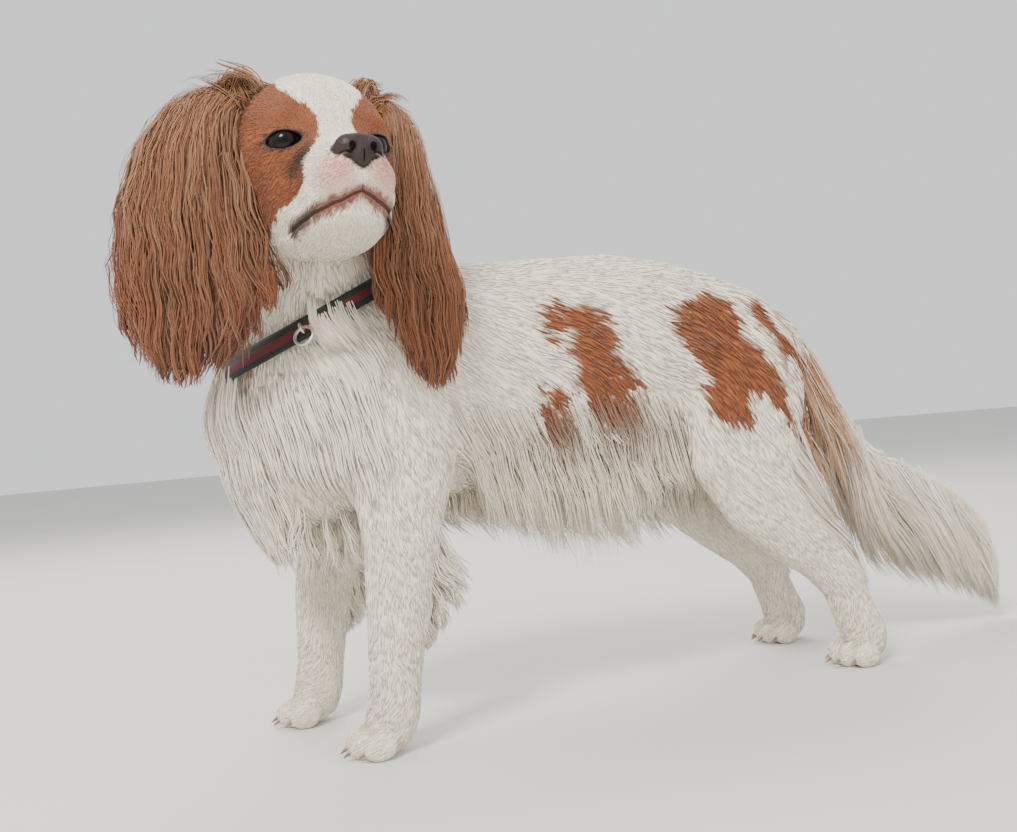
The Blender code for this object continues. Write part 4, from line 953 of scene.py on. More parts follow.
def body_mask(points):
    """Share of chestnut on the trunk and thighs."""
    rough = 0.004 * ripple(points, 0.023, 1.0) + 0.0025 * ripple(points, 0.009, 3.0)
    share = np.zeros(len(points))
    for patches, side in ((PATCHES_LEFT, 1), (PATCHES_RIGHT, -1)):
        inner = np.interp(points[:, 2], (0.20, 0.27), (0.038, 0.010))
        near = np.clip((side * points[:, 0] - inner) / 0.008, 0, 1)
        for outline in patches:
            depth = depth_in(outline, points[:, 1], points[:, 2]) + rough
            share = np.maximum(share, near * np.clip(depth / 0.003, 0, 1))
    root = np.linalg.norm(points - (0.0, 0.318, 0.215), axis=1)
    share = np.maximum(share, 0.30 * np.clip((0.020 - root + rough) / 0.008, 0, 1))
    rear = 0.262 + 0.30 * np.clip(0.185 - points[:, 2], 0, 0.11)
    strip = np.clip((points[:, 1] - rear + 2 * rough) / 0.008, 0, 1) * (points[:, 2] < 0.20)
    strip *= np.clip((points[:, 2] - 0.075) / 0.02, 0, 1) * (points[:, 1] < 0.315)
    share = np.maximum(share, 0.85 * strip * (np.abs(points[:, 0]) > 0.02))
    rump = np.clip((points[:, 1] - 0.228) / 0.015, 0, 1) * (points[:, 1] < 0.305)
    rump *= np.clip((points[:, 2] - 0.165) / 0.02, 0, 1) * (np.abs(points[:, 0]) > 0.014)
    rump *= np.clip((0.285 - points[:, 2]) / 0.01, 0, 1)
    streaks = ripple(points * (1.0, 1.0, 0.22), 0.009, 7.0)
    return np.maximum(share, 0.8 * rump * np.clip(streaks * 1.5 - 0.1, 0, 1))


def distance_to(line, points, wanted):
    """How far points are from a line of spots; far where it isn't wanted."""
    spots = np.array([spot[:] for spot in line])
    away = np.full(len(points), 1.0)
    for some in np.array_split(np.nonzero(wanted)[0], 40):
        gaps = np.linalg.norm(points[some][:, None] - spots[None], axis=-1)
        away[some] = gaps.min(1)
    return away


def eye_rim(points, side):
    """Dark rim of the lids: 1 at the opening's edge, fading over a few millimetres."""
    place = np.array(eye_place(side).inverted())
    local = points @ place[:3, :3].T + place[:3, 3]
    wide, tall = EYE_OPENING[0] / 2 + 0.3 * MM, EYE_OPENING[1] / 2 + 0.3 * MM
    across = local[:, 0] / wide
    reach = np.hypot(across, local[:, 2] / tall)
    share = np.clip((1.15 - reach) / 0.10, 0, 1)
    corner = np.clip((1.40 - np.abs(across)) / 0.2, 0, 1) * (np.abs(local[:, 2]) < 0.0012)
    share = np.maximum(share, 0.8 * corner)
    return np.where((local[:, 1] < 0) & (local[:, 1] > -0.03), share, 0)


def markings(points):
    """Coat colour at points of the dog, in its modelling frame."""
    tone = colours()
    flat = np.tile(np.array(tone.white[:]), (len(points), 1))
    cream = np.clip((0.16 - points[:, 2]) / 0.12, 0, 1) * 0.35
    flat = blended(flat, (0.74, 0.66, 0.53), cream + 0.10 * ripple(points, 0.05))
    to_eyes = np.linalg.norm(points - np.array(EYES_AT), axis=1)
    left, forward, up = to_head(points).T
    on_head = (to_eyes < 0.125) & (forward > -0.094) & (up > -0.09)
    share = np.where(on_head, face_mask(points), body_mask(points))
    chestnut = np.array(tone.chestnut[:])
    deep = chestnut * (1 + 0.18 * ripple(points, 0.03, 4.0))[:, None]
    flat = flat + (deep - flat) * share[:, None]
    head = np.stack([np.abs(left), forward, up], -1)
    for place, reach, colour, most in (
        ((0.0235, 0.0175, -0.0160), 0.0056, (0.040, 0.013, 0.007), 0.88),
        ((0.0205, 0.0195, -0.0125), 0.0052, (0.036, 0.012, 0.006), 0.88),
        ((0.0180, 0.0205, -0.0080), 0.0036, (0.050, 0.018, 0.009), 0.75),
        ((0.0265, 0.0150, -0.0200), 0.0052, (0.060, 0.018, 0.008), 0.75),
        ((0.0120, 0.0530, -0.0285), 0.0092, tone.bare_skin[:], 0.75),
        ((0.0180, 0.0480, -0.0330), 0.0086, tone.bare_skin[:], 0.55),
        ((0.0000, 0.0520, -0.0085), 0.0050, (0.25, 0.17, 0.14), 0.45),
    ):
        away = np.linalg.norm(head - place, axis=1)
        flat = blended(flat, colour, np.where(on_head, most * (1.6 - away / reach), 0))
    away = distance_to(made["mouth"], points, on_head)
    lips = (0.0064 + 0.0013 * ripple(points, 0.009, 6.0) - away) / 0.0031
    dark = np.clip((head[:, 0] - 0.0190) / 0.008, 0, 0.85) + 0.65 * (away < 0.0014)
    lip = blended(np.tile(tone.lips[:], (len(points), 1)), tone.rim[:], dark)
    lips = np.where(on_head, 0.96 * np.clip(lips, 0, 1), 0)[:, None]
    flat = flat + (lip - flat) * lips
    by_nose = np.zeros(len(points))
    near = on_head & (to_eyes > 0.03) & (forward > 0.03)
    by_nose[near] = [
        made["nose_tree"].find_nearest(Vector(point), 0.01)[3] is not None
        and 1.4 - made["nose_tree"].find_nearest(Vector(point), 0.01)[3] / 0.0010
        for point in points[near]
    ]
    flat = blended(flat, tone.nose[:], by_nose)
    near = (to_eyes > 0.045) & (to_eyes < 0.20) & (points[:, 2] > 0.25)
    leaf = np.zeros(len(points))
    leaf[near] = [
        made["leaf_tree"].find_nearest(Vector(point), 0.003)[0] is not None
        for point in points[near]
    ]
    flat = blended(flat, tone.ear[:], leaf * (np.abs(left) > 0.040))
    for side in (1, -1):
        rim = eye_rim(points, side)
        flat = blended(flat, tone.rim[:], np.where(on_head, rim, 0))
    return np.clip(flat, 0.002, 1)


def ear_colour(points, down, dice):
    """Colour along the ears: pale and sandy above, deep chestnut at the tips."""
    tone = colours()
    flat = np.tile(np.array(tone.ear[:]), (len(points), 1))
    flat = blended(flat, tone.ear_low[:], (down - 0.35) / 0.5)
    pale = 0.30 + 0.35 * ripple(points, 0.016, 9.0) + dice.normal(0, 0.22, len(points))
    flat = blended(flat, tone.pale_hair[:], pale * np.clip(1.25 - down, 0, 1))
    shade = 0.94 + 0.14 * ripple(points, 0.010, 3.0) + dice.normal(0, 0.08, len(points))
    return flat * shade[:, None]


def skin_form():
    """The whole dog without long hair, eyes, nose and ears' leaves."""
    bm = bmesh.new()
    loft(bm, [ring(Vector((0, y, z)), LEFT, UP, w, h, 40) for y, z, w, h in TORSO])
    loft(bm, tube_rings(NECK, 32))
    loft(bm, tube_rings(TAIL, 20))
    head_sections(bm, SKULL)
    head_sections(bm, JAW)
    add_masses(bm, HEAD_MASSES, 28)
    bib = [(centre, wide * 0.85, deep * 0.6) for centre, wide, deep in BIB[:4]]
    loft(bm, tube_rings(bib, 24))
    for side in (1, -1):
        loft(bm, tube_rings(leg_stations(FORE_LEG, side, FORE_STEP[side]), 28))
        loft(bm, tube_rings(leg_stations(HIND_LEG, side, HIND_STEP[side]), 28))
        for toes_at, step in ((FORE_TOES, FORE_STEP[side]), (HIND_TOES, HIND_STEP[side])):
            toes = list(toe_centres(toes_at, side, step))
            for centre in toes:
                ball(bm, centre, TOE_RADII, segments=18)
            heel = (toes[1] + toes[2]) / 2 + BACK * HEEL_PAD_BEHIND
            ball(bm, heel, HEEL_PAD_RADII, segments=18)
    return mesh_from(bm)


def ear_leaves():
    bm = bmesh.new()
    for side in (1, -1):
        rings = []
        for row in range(5):
            down = 0.12 * row
            thick = 0.0032 - 0.0005 * row
            points = []
            for step in range(32):
                turn = 2 * math.pi * step / 32
                across = math.cos(turn) * (0.88, 0.86, 0.80, 0.66, 0.42)[row]
                lift = ear_normal(side, across, down) * (thick * math.sin(turn))
                points.append(ear_point(side, across, down) + lift)
            rings.append(points)
        left, forward, up = EAR_ROOT
        root = head_place() @ in_head(side * left, forward, up)
        middle = sum(rings[0], Vector()) / 32
        rings.insert(0, [root + (point - middle) * 0.8 for point in rings[0]])
        loft(bm, rings)
    return mesh_from(bm)


def coordinates(mesh):
    flat = np.empty(len(mesh.vertices) * 3, np.float32)
    mesh.vertices.foreach_get("co", flat)
    return flat.reshape(-1, 3).astype(float)


def vertex_normals(mesh):
    flat = np.empty(len(mesh.vertices) * 3, np.float32)
    mesh.vertex_normals.foreach_get("vector", flat)
    return flat.reshape(-1, 3).astype(float)


def put_coordinates(mesh, points):
    mesh.vertices.foreach_set("co", points.astype(np.float32).ravel())
    mesh.update()


def skin_softness(points):
    """How much the surface is smoothed: fully on the trunk, little on head and feet."""
    from_head = np.linalg.norm(points - np.array(EYES_AT), axis=1)
    height = np.clip((points[:, 2] - 0.10) / 0.06, 0.12, 1)
    tail = np.where(points[:, 1] > 0.31, 0.2, 1.0)
    share = np.minimum(np.minimum(height, tail), 0.10 + (from_head - 0.10) / 0.05)
    return np.where((from_head < 0.10) | (points[:, 2] < 0.045), 0.10, share)


def smoothed(mesh, passes, shares):
    """Moves each corner towards its neighbours' middle, by its own share."""
    ends = np.empty(len(mesh.edges) * 2, np.int32)
    mesh.edges.foreach_get("vertices", ends)
    a, b = ends.reshape(-1, 2).T
    points = coordinates(mesh)
    count = np.bincount(a, minlength=len(points)) + np.bincount(b, minlength=len(points))
    for _ in range(passes):
        total = np.zeros_like(points)
        for axis in range(3):
            total[:, axis] = np.bincount(a, points[b, axis], len(points))
            total[:, axis] += np.bincount(b, points[a, axis], len(points))
        middle = total / count[:, None]
        points += (middle - points) * (0.5 * shares)[:, None]
    put_coordinates(mesh, points)
    return mesh


def coat_depth(points):
    """How deep the skin lies under the outline: least on face and feet."""
    size = sizes()
    from_head = np.linalg.norm(points - np.array(EYES_AT), axis=1)
    deep = np.interp(from_head, (0.085, 0.13), (size.head_depth, size.body_depth))
    low = np.interp(points[:, 2], (0.03, 0.16), (0.7 * MM, size.body_depth))
    return np.minimum(deep, low)


def shape_skin():
    """One closed skin with lids, eye sockets and the mouth's line."""
    form = fused(skin_form(), sizes().skin_voxel)
    form = smoothed(form, 60, skin_softness(coordinates(form)))
    push_head(form)
    points = coordinates(form)
    normals = vertex_normals(form)
    put_coordinates(form, points - normals * coat_depth(points)[:, None])
    leaves = ear_leaves()
    made["leaf_tree"] = tree_of(leaves)
    form = boolean(form, [fused(leaves, 1.2 * MM)], "UNION")
    lids = [eye_ball(side, EYE_RADIUS + LID_THICKNESS - 0.5 * MM, 40) for side in (1, -1)]
    form = boolean(form, lids, "UNION")
    tree = tree_of(form)
    cutters = [eye_ball(side, EYE_RADIUS + 0.1 * MM, 40) for side in (1, -1)]
    cutters += [almond(eye_place(side), side) for side in (1, -1)]
    made["mouth"] = mouth_line(tree)
    cutters += [tube(made["mouth"], 1.3 * MM), tube(lip_split(tree), 0.6 * MM, 6)]
    for cutter in cutters:
        form = boolean(form, [cutter], "DIFFERENCE")
    points = coordinates(form)
    points[:, 2] = np.maximum(points[:, 2], SOLE_TRIM)
    put_coordinates(form, points)
    return form


def lean_skin(form):
    """Fewer faces on trunk, legs and ears, where the coat hides them."""
    to_head = head_place().inverted()
    holder = bpy.data.objects.new("holder", form)
    bpy.context.scene.collection.objects.link(holder)
    bpy.context.view_layer.objects.active = holder
    bpy.ops.object.mode_set(mode="EDIT")
    bm = bmesh.from_edit_mesh(form)
    for face in bm.faces:
        middle = face.calc_center_median()
        away = (middle - EYES_AT).length > 0.10 or abs((to_head @ middle).x) > 0.055
        face.select_set(away and middle.z > 0.03)
    bmesh.update_edit_mesh(form)
    bpy.ops.mesh.decimate(ratio=0.13)
    bpy.ops.object.mode_set(mode="OBJECT")
    bpy.data.objects.remove(holder)
    return form


def piece(name, mesh, material, replaced=()):
    """A finished mesh as a piece of the dog, moved to the frame of its solids."""
    mesh.name = name
    mesh.transform(Matrix.Translation(ORIGIN_SHIFT))
    mesh.materials.clear()
    mesh.materials.append(material)
    mesh.shade_smooth()
    obj = bpy.data.objects.new(name, mesh)
    bpy.context.scene.collection.objects.link(obj)
    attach(obj, "root")
    if replaced:
        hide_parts(*replaced)
    return obj


def put_colours(mesh, colour):
    layer = mesh.attributes.new("markings", "FLOAT_COLOR", "POINT")
    flat = np.concatenate([colour, np.ones((len(colour), 1))], 1).astype(np.float32)
    layer.data.foreach_set("color", flat.ravel())


def fin_point(pairs, down, out_share, out, step):
    """A point of a fin's sheet: down its length, and from its root edge to its tips."""
    near = along_points([(out, y + step, z) for (y, z), _, _ in pairs], down)
    far = along_points([(out, y + step, z) for _, (y, z), _ in pairs], down)
    return near + (far - near) * out_share


def nearest(tree, points):
    """Nearest spots of a surface and their normals."""
    found = [tree.find_nearest(Vector(point))[:2] for point in points]
    spots = np.array([spot[:] for spot, _ in found])
    return spots, np.array([normal[:] for _, normal in found])


def scattered(mesh, wanted, dice, weigh):
    """Spots and normals spread over a mesh, closer together where weigh is larger."""
    mesh.calc_loop_triangles()
    corners = np.empty(len(mesh.loop_triangles) * 3, np.int32)
    mesh.loop_triangles.foreach_get("vertices", corners)
    corners = corners.reshape(-1, 3)
    points, normals = coordinates(mesh), vertex_normals(mesh)
    a, b, c = (points[corners[:, i]] for i in range(3))
    area = np.linalg.norm(np.cross(b - a, c - a), axis=1) / 2
    share = np.cumsum(area * weigh((a + b + c) / 3, unit(normals[corners].sum(1))))
    spots = (np.arange(wanted) + dice.random(wanted)) / wanted * share[-1]
    picked = np.minimum(np.searchsorted(share, spots), len(share) - 1)
    u, v = dice.random((2, wanted, 1))
    u, v = np.where(u + v > 1, 1 - u, u), np.where(u + v > 1, 1 - v, v)
    place = a[picked] + (b - a)[picked] * u + (c - a)[picked] * v
    n = normals[corners[picked]]
    return place, unit(n[:, 0] * (1 - u - v) + n[:, 1] * u + n[:, 2] * v)


class Unwrap:
    """Places on a flat unwrap of the skin's own shape."""

    def __init__(self, skin):
        holder = bpy.data.objects.new("holder", skin.copy())
        bpy.context.scene.collection.objects.link(holder)
        bpy.ops.object.select_all(action="DESELECT")
        bpy.context.view_layer.objects.active = holder
        modifier = holder.modifiers.new("lean", "DECIMATE")
        modifier.ratio = 6000 / len(skin.polygons)
        bpy.ops.object.modifier_apply(modifier="lean")
        bpy.ops.object.mode_set(mode="EDIT")
        bpy.ops.mesh.select_all(action="SELECT")
        bpy.ops.uv.smart_project(angle_limit=math.radians(66), island_margin=0.004)
        bpy.ops.object.mode_set(mode="OBJECT")
        mesh = holder.data
        mesh.calc_loop_triangles()
        points = coordinates(mesh)
        triangles = np.array([t.vertices[:] for t in mesh.loop_triangles])
        loops = np.array([t.loops[:] for t in mesh.loop_triangles])
        flat = np.empty(len(mesh.loops) * 2, np.float32)
        mesh.uv_layers.active.data.foreach_get("uv", flat)
        self.corners = points[triangles]
        self.flat = flat.reshape(-1, 2)[loops]
        self.tree = BVHTree.FromPolygons(points.tolist(), triangles.tolist())
        bpy.data.objects.remove(holder)

    def at(self, points):
        found = [self.tree.find_nearest(Vector(point)) for point in points]
        index = np.array([face for _, _, face, _ in found])
        spots = np.array([spot[:] for spot, _, _, _ in found])
        a, b, c = (self.corners[index, i] for i in range(3))
        ab, ac, ap = b - a, c - a, spots - a
        dot = lambda one, two: (one * two).sum(1)
        base = np.maximum(dot(ab, ab) * dot(ac, ac) - dot(ab, ac) ** 2, 1e-18)
        v = (dot(ac, ac) * dot(ap, ab) - dot(ab, ac) * dot(ap, ac)) / base
        w = (dot(ab, ab) * dot(ap, ac) - dot(ab, ac) * dot(ap, ab)) / base
        share = np.clip(np.stack([1 - v - w, v, w], 1), 0, 1)
        return (self.flat[index] * share[:, :, None]).sum(1)


def hair_mesh(paths, faces, widths, colours_of, taper, thick, dice):
    """Solid three-sided tufts along paths, coloured from root to tip with painted shade at the root,
    and a flat patch each.
    """
    count, rings = len(paths), paths.shape[1] - 1
    along = unit(np.gradient(paths, axis=1))
    across = unit(np.cross(faces, along))[:, :rings]
    over = unit(np.cross(along[:, :rings], across))
    half = widths[:, None, None] / 2 * np.asarray(taper)[None, :, None]
    rows = paths[:, :rings]
    rows = np.stack([rows - across * half, rows + across * half, rows + over * half * thick], 2)
    points = np.concatenate([rows.reshape(count, rings * 3, 3), paths[:, -1:]], 1)
    size = rings * 3 + 1
    pattern = [(0, 2, 1)]
    for i in range(rings - 1):
        for j in range(3):
            a, b = 3 * i + j, 3 * i + (j + 1) % 3
            pattern += [(a, b, b + 3), (a, b + 3, a + 3)]
    last = 3 * (rings - 1)
    pattern += [(last + j, last + (j + 1) % 3, size - 1) for j in range(3)]
    pattern = np.array(pattern)
    corners = (pattern[None] + size * np.arange(count)[:, None, None]).reshape(-1)
    mesh = bpy.data.meshes.new("coat")
    mesh.vertices.add(count * size)
    mesh.loops.add(len(corners))
    mesh.polygons.add(len(corners) // 3)
    mesh.vertices.foreach_set("co", points.astype(np.float32).ravel())
    mesh.loops.foreach_set("vertex_index", corners.astype(np.int32))
    mesh.polygons.foreach_set("loop_start", np.arange(0, len(corners), 3, dtype=np.int32))
    mesh.update(calc_edges=True)

    down = np.append(np.repeat(np.arange(rings) / rings, 3), 1.0)
    side = np.append(np.tile((-1.0, 1.0, 0.0), rings), 0.0)
    # Painted shade: roots darker and tips slightly lighter, as if shaded among the tufts near the
    # skin, times a random tone for each tuft.
    shade = np.interp(down, (0, 0.35, 1), (0.90, 0.98, 1.03))[None] * dice.uniform(
        0.94, 1.05, (count, 1)
    )
    root, tip = colours_of[:, :1], colours_of[:, -1:]
    flat = root + (tip - root) * np.clip(1.5 * down - 0.1, 0, 1)[None, :, None]
    put_colours(mesh, (flat * shade[:, :, None]).reshape(-1, 3))
    streak = np.empty((count, size, 3), np.float32)
    streak[:, :, 0], streak[:, :, 1] = side, down
    streak[:, :, 2] = dice.random((count, 1))
    layer = mesh.attributes.new("strand", "FLOAT_VECTOR", "POINT")
    layer.data.foreach_set("vector", streak.ravel())

    patch = np.stack([side, 2 * down - 1], 1)[None] * 0.0015
    flat = made["unwrap"].at(paths[:, 0])[:, None] + patch
    uv = mesh.uv_layers.new(name="OFBake")
    flat = flat.reshape(-1, 2)[corners].astype(np.float32)
    uv.data.foreach_set("uv", flat.ravel())
    return mesh


def turned(ways, normals, turns):
    """Directions turned about the normals."""
    return ways * np.cos(turns)[:, None] + np.cross(normals, ways) * np.sin(turns)[:, None]


def near_eyes(points, room):
    """Whether points come into the opening of an eye, or into the eye."""
    found = np.zeros(len(points), bool)
    wide, tall = EYE_OPENING[0] / 2 + room, EYE_OPENING[1] / 2 + room
    for side in (1, -1):
        place = np.array(eye_place(side).inverted())
        local = points @ place[:3, :3].T + place[:3, 3]
        inside = np.linalg.norm(local, axis=1) < EYE_RADIUS + 0.3 * MM
        ahead = (local[:, 0] / wide) ** 2 + (local[:, 2] / tall) ** 2 < 1
        found |= inside | (ahead & (local[:, 1] < 0) & (local[:, 1] > -0.03))
    return found


def short_tufts(kept, wanted, closeness, dice):
    """Paths, facings and widths of short coat where kept says so."""
    skin, tree = made["skin_mesh"], made["skin_tree"]

    def weigh(points, normals):
        _, values = lie_at(points, normals)
        wide = 0.40 + 0.060 * values[:, 0]
        return kept(points, normals) * closeness / (values[:, 0] * wide)

    spots, normals = scattered(skin, wanted, dice, weigh)
    ways, values = lie_at(spots, normals)
    swirl = 0.15 * ripple(spots, 0.034, 5.0) + dice.normal(0, 0.08, len(spots))
    ways = turned(ways, normals, swirl)
    lengths = values[:, 0] * MM * dice.uniform(0.72, 1.18, len(spots))
    lifts = np.radians(values[:, 1]) * dice.uniform(0.10, 0.60, len(spots))
    widths = (0.40 * MM + 0.060 * lengths) * dice.uniform(0.75, 1.2, len(spots))
    widths *= np.interp(lengths, (5 * MM, 12 * MM), (1.0, sizes().tuft_width / (1.9 * MM)))
    base = dice.uniform(0.0, 0.25, len(spots)) * MM
    paths, faces = [spots - normals * 0.3 * MM], [normals]
    place, normal = spots, normals
    for share in (0.46, 1.0):
        step = lengths * (share if share < 1 else 0.54)
        place, normal = nearest(tree, place + ways * step[:, None])
        ways = unit(ways - normal * (ways * normal).sum(1, keepdims=True))
        rise = lengths * np.sin(lifts) * share * (1.12 - 0.40 * share) + base
        paths.append(place + normal * rise[:, None])
        paths[-1][:, 2] = np.maximum(paths[-1][:, 2], SOLE_TRIM + 0.6 * MM)
        faces.append(normal)
    paths, faces = np.stack(paths, 1), np.stack(faces, 1)
    bad = near_eyes(paths[:, 0], 0.2 * MM) | near_eyes(paths[:, -1], 0.4 * MM)
    bad |= near_eyes(paths[:, 1], 0.2 * MM)
    for keep_off, room in made["keep_off"]:
        for i in (0, 1, 2):
            bad |= np.array(
                [keep_off.find_nearest(Vector(p), room)[0] is not None for p in paths[:, i]]
            )
    good = ~bad
    return paths[good], faces[good], widths[good]


def strands(guides, faces, each, spread, width, wave, dice, gathered=0.45):
    """Strands round each guide, gathering towards its tip in waves."""
    count, rings = guides.shape[:2]
    number = count * each
    lock = np.repeat(np.arange(count), each)
    t = np.linspace(0, 1, rings)
    share = dice.uniform(0.80, 1.0, number)[:, None] * t
    at = share * (rings - 1)
    low = np.minimum(at.astype(int), rings - 2)
    part = (at - low)[:, :, None]
    rows = guides[lock]
    index = np.arange(number)[:, None]
    path = rows[index, low] * (1 - part) + rows[index, low + 1] * part
    face = faces[lock]
    along = unit(np.gradient(path, axis=1))
    across = unit(np.cross(face, along))
    over = unit(np.cross(along, across))
    turn, reach = dice.uniform(0, 2 * math.pi, number), np.sqrt(dice.random(number))
    gather = 1 - gathered * t
    size = spread[lock][:, None] if np.ndim(spread) else spread
    one = (reach * np.cos(turn))[:, None] * size * gather
    two = (reach * np.sin(turn))[:, None] * size * 0.5 * gather
    length = np.linalg.norm(np.diff(path, axis=1), axis=2).sum(1)[:, None]
    phase = 2.2 * ripple(guides[:, 0], 0.07, 8.0)[lock] + dice.normal(0, 0.42, number)
    swing = phase[:, None] + 2 * math.pi * (t * length - path[:, :1, 2]) / wave[1]
    strength = wave[0] * dice.uniform(0.5, 1.3, count)[lock][:, None] * t ** 0.7
    one = one + strength * np.sin(swing)
    two = two + 0.45 * strength * np.cos(swing + 0.8)
    path = path + across * one[:, :, None] + over * two[:, :, None]
    widths = width * dice.uniform(0.7, 1.25, number)
    return path, face, widths, lock


def kept_clear(paths, room):
    """Strands pushed out of the skin from their second point on, without those deep in it."""
    flat = paths[:, 1:].reshape(-1, 3)
    spots, normals = nearest(made["skin_tree"], flat)
    height = ((flat - spots) * normals).sum(1)
    close = np.linalg.norm(flat - spots, axis=1) < 0.012
    short = close & (height < room)
    deep = (close & (height < -4 * MM)).reshape(len(paths), -1)[:, 1:].any(1)
    flat[short] = spots[short] + normals[short] * room
    flat[:, 2] = np.maximum(flat[:, 2], 2.5 * MM + SOLE_TRIM)
    paths[:, 1:] = flat.reshape(paths[:, 1:].shape)
    return paths, ~deep


SHORT_TAPER = (0.72, 1.0)


def long_taper(rings):
    return np.interp(np.arange(rings) / rings, (0, 0.15, 0.45, 1), (0.55, 0.95, 1.0, 0.30))


def resampled(rows, count):
    """The same ways with another number of points."""
    at = np.linspace(0, rows.shape[1] - 1, count)
    low = np.minimum(at.astype(int), rows.shape[1] - 2)
    part = (at - low)[None, :, None]
    return rows[:, low] * (1 - part) + rows[:, low + 1] * part


def fin_guides(pairs, out, step, count, drop, dice, lean=0.0):
    """Guides that leave a fin's root edge and sweep down to its tips."""
    guides, faces = [], []
    thick = [(half, 0.0, 0.0) for _, _, half in pairs]
    for number in range(count):
        start = 0.84 * (number + dice.random()) / count
        end = min(start + drop * dice.uniform(0.75, 1.15), 1.0)
        first = dice.uniform(-0.05, 0.35) if number % 3 == 0 else 0.0
        last = dice.uniform(0.80, 1.02) if first <= 0 else first + dice.uniform(0.2, 0.6)
        side = dice.uniform(-1, 1)
        path = []
        for t in np.linspace(0, 1, 8):
            down = start + (end - start) * t ** 1.05
            point = fin_point(pairs, down, first + (last - first) * t ** 0.85, out, step)
            half = along_points(thick, down).x
            point.x += side * half * (0.35 + 0.65 * math.sin(math.pi * min(t, 0.9)))
            point.x += lean * t
            path.append(point)
        guides.append(path)
        facing = Vector((1.0 if side >= 0 else -1.0, 0.15, 0.25)).normalized()
        faces.append([facing] * 8)
    return np.array(guides), np.array(faces)


def walked_guides(wanted, kept, reach, rise, dice):
    """Guides from spots of the skin that follow the coat's lie and rise over it."""
    spots, normals = scattered(made["skin_mesh"], wanted, dice, kept)
    lengths = reach * dice.uniform(0.75, 1.2, wanted)
    rows, faces = [spots - normals * 0.5 * MM], [normals]
    place, normal = spots, normals
    for step in range(1, 8):
        ways, _ = lie_at(place, normal)
        place, normal = nearest(made["skin_tree"], place + ways * (lengths / 7)[:, None])
        rows.append(place + normal * rise * math.sin(math.pi * (0.12 + 0.10 * step)))
        faces.append(normal)
    return np.stack(rows, 1), np.stack(faces, 1)


def flank_guides(count, dice):
    """Guides that leave the flanks and hang down past the belly."""
    tips = [Vector((w, y, z - h)) for y, z, w, h in BELLY_FRINGE]
    guides, faces = [], []
    for number in range(count):
        side = 1 if number % 2 else -1
        share = (number + dice.random()) / count
        low = along_points(tips, min(share + 0.12, 1.0))
        back = -0.005 + 0.165 * share
        start = Vector((side * 0.2, back - 0.018, dice.uniform(0.184, 0.228)))
        lowest = 0.172 + 0.14 * max(0.0, back - 0.08)
        points = []
        for drop, lean, out in ((0.0, 0.0, 0.0), (0.4, 0.35, 2.5), (0.75, 0.7, 3.0)):
            level = start.z + (lowest - start.z) * drop
            beam = Vector((side * 0.2, start.y + 0.030 * lean, level))
            spot, normal, _, _ = made["skin_tree"].ray_cast(beam, Vector((-side, 0, 0)))
            if spot is None:
                break
            points.append(spot + normal * (out * MM))
        if len(points) < 3 or abs(points[0].x) < 0.03:
            continue
        inward = dice.uniform(0.014, 0.036)
        points.append(Vector((side * (inward + 0.014), start.y + 0.028, 0.148)))
        tip_height = low.z - 0.004 + dice.uniform(-0.008, 0.012)
        points.append(Vector((side * inward, start.y + 0.036, tip_height)))
        guides.append([along_points(points, t) for t in np.linspace(0, 1, 8)])
        faces.append([Vector((side, 0.0, 0.1)).normalized()] * 8)
    return np.array(guides), np.array(faces)


def crown_guides(side, count, dice):
    """Guides from the side of the skull over the top of an ear, some of them flying up."""
    guides, faces = [], []
    place = head_place()
    for number in range(count):
        left = dice.uniform(0.026, 0.044)
        forward = dice.uniform(-0.078, -0.022)
        start = place @ in_head(side * left, forward, 0.075)
        down = (place.to_3x3() @ Vector((0, 0, -1))).normalized()
        spot, normal, _, _ = made["skin_tree"].ray_cast(start, down)
        if spot is None:
            continue
        across = dice.uniform(-0.95, 0.95)
        end = dice.uniform(0.14, 0.40)
        over = ear_normal(side, across, 0.05)
        puff = dice.uniform(0.1, 1.0)
        first = ear_point(side, across, 0.03) + over * 0.004 + UP * 0.016 * puff
        second = ear_point(side, across, end / 2 + 0.03) + over * (0.005 + 0.008 * puff)
        third = ear_point(side, across * 1.05, end) + over * dice.uniform(0.004, 0.008)
        first = first.lerp(spot, 0.35) + UP * (0.002 + 0.009 * puff)
        if number % 4 == 0:
            aside = place.to_3x3() @ Vector((side, dice.uniform(0.0, 0.7), 0)).normalized()
            first = spot + UP * dice.uniform(0.006, 0.012) + aside * 0.007
            second = first + aside * dice.uniform(0.008, 0.018) + UP * dice.uniform(0, 0.006)
            third = second + aside * dice.uniform(0.006, 0.014) - UP * dice.uniform(-0.004, 0.007)
        points = [spot - normal * 0.001, first, second, third]
        guides.append([along_points(points, t) for t in np.linspace(0, 1, 8)])
        faces.append([(over + UP * (1 - t)).normalized() for t in np.linspace(0, 1, 8)])
    return np.array(guides), np.array(faces)


def belly_guides(count, dice):
    rows = [Vector((w, y, z + h)) for y, z, w, h in BELLY_FRINGE]
    tips = [Vector((w, y, z - h)) for y, z, w, h in BELLY_FRINGE]
    guides, faces = [], []
    for number in range(count):
        share = (number + dice.random()) / count
        side = dice.uniform(-1, 1)
        top, low = along_points(rows, share), along_points(tips, share + 0.03)
        root = Vector((side * 0.9 * top.x, top.y, top.z - 0.004))
        tip = Vector((side * 0.55 * low.x, low.y, low.z - 0.006 + dice.uniform(0.0, 0.014)))
        path = []
        for t in np.linspace(0, 1, 8):
            point = root.lerp(tip, t)
            point.x += side * 0.004 * math.sin(math.pi * t)
            point.y += 0.012 * t * t + 0.004 * math.sin(2.2 * math.pi * t)
            path.append(point)
        guides.append(path)
        faces.append([Vector((1.0 if side >= 0 else -1.0, 0.0, -0.2)).normalized()] * 8)
    return np.array(guides), np.array(faces)


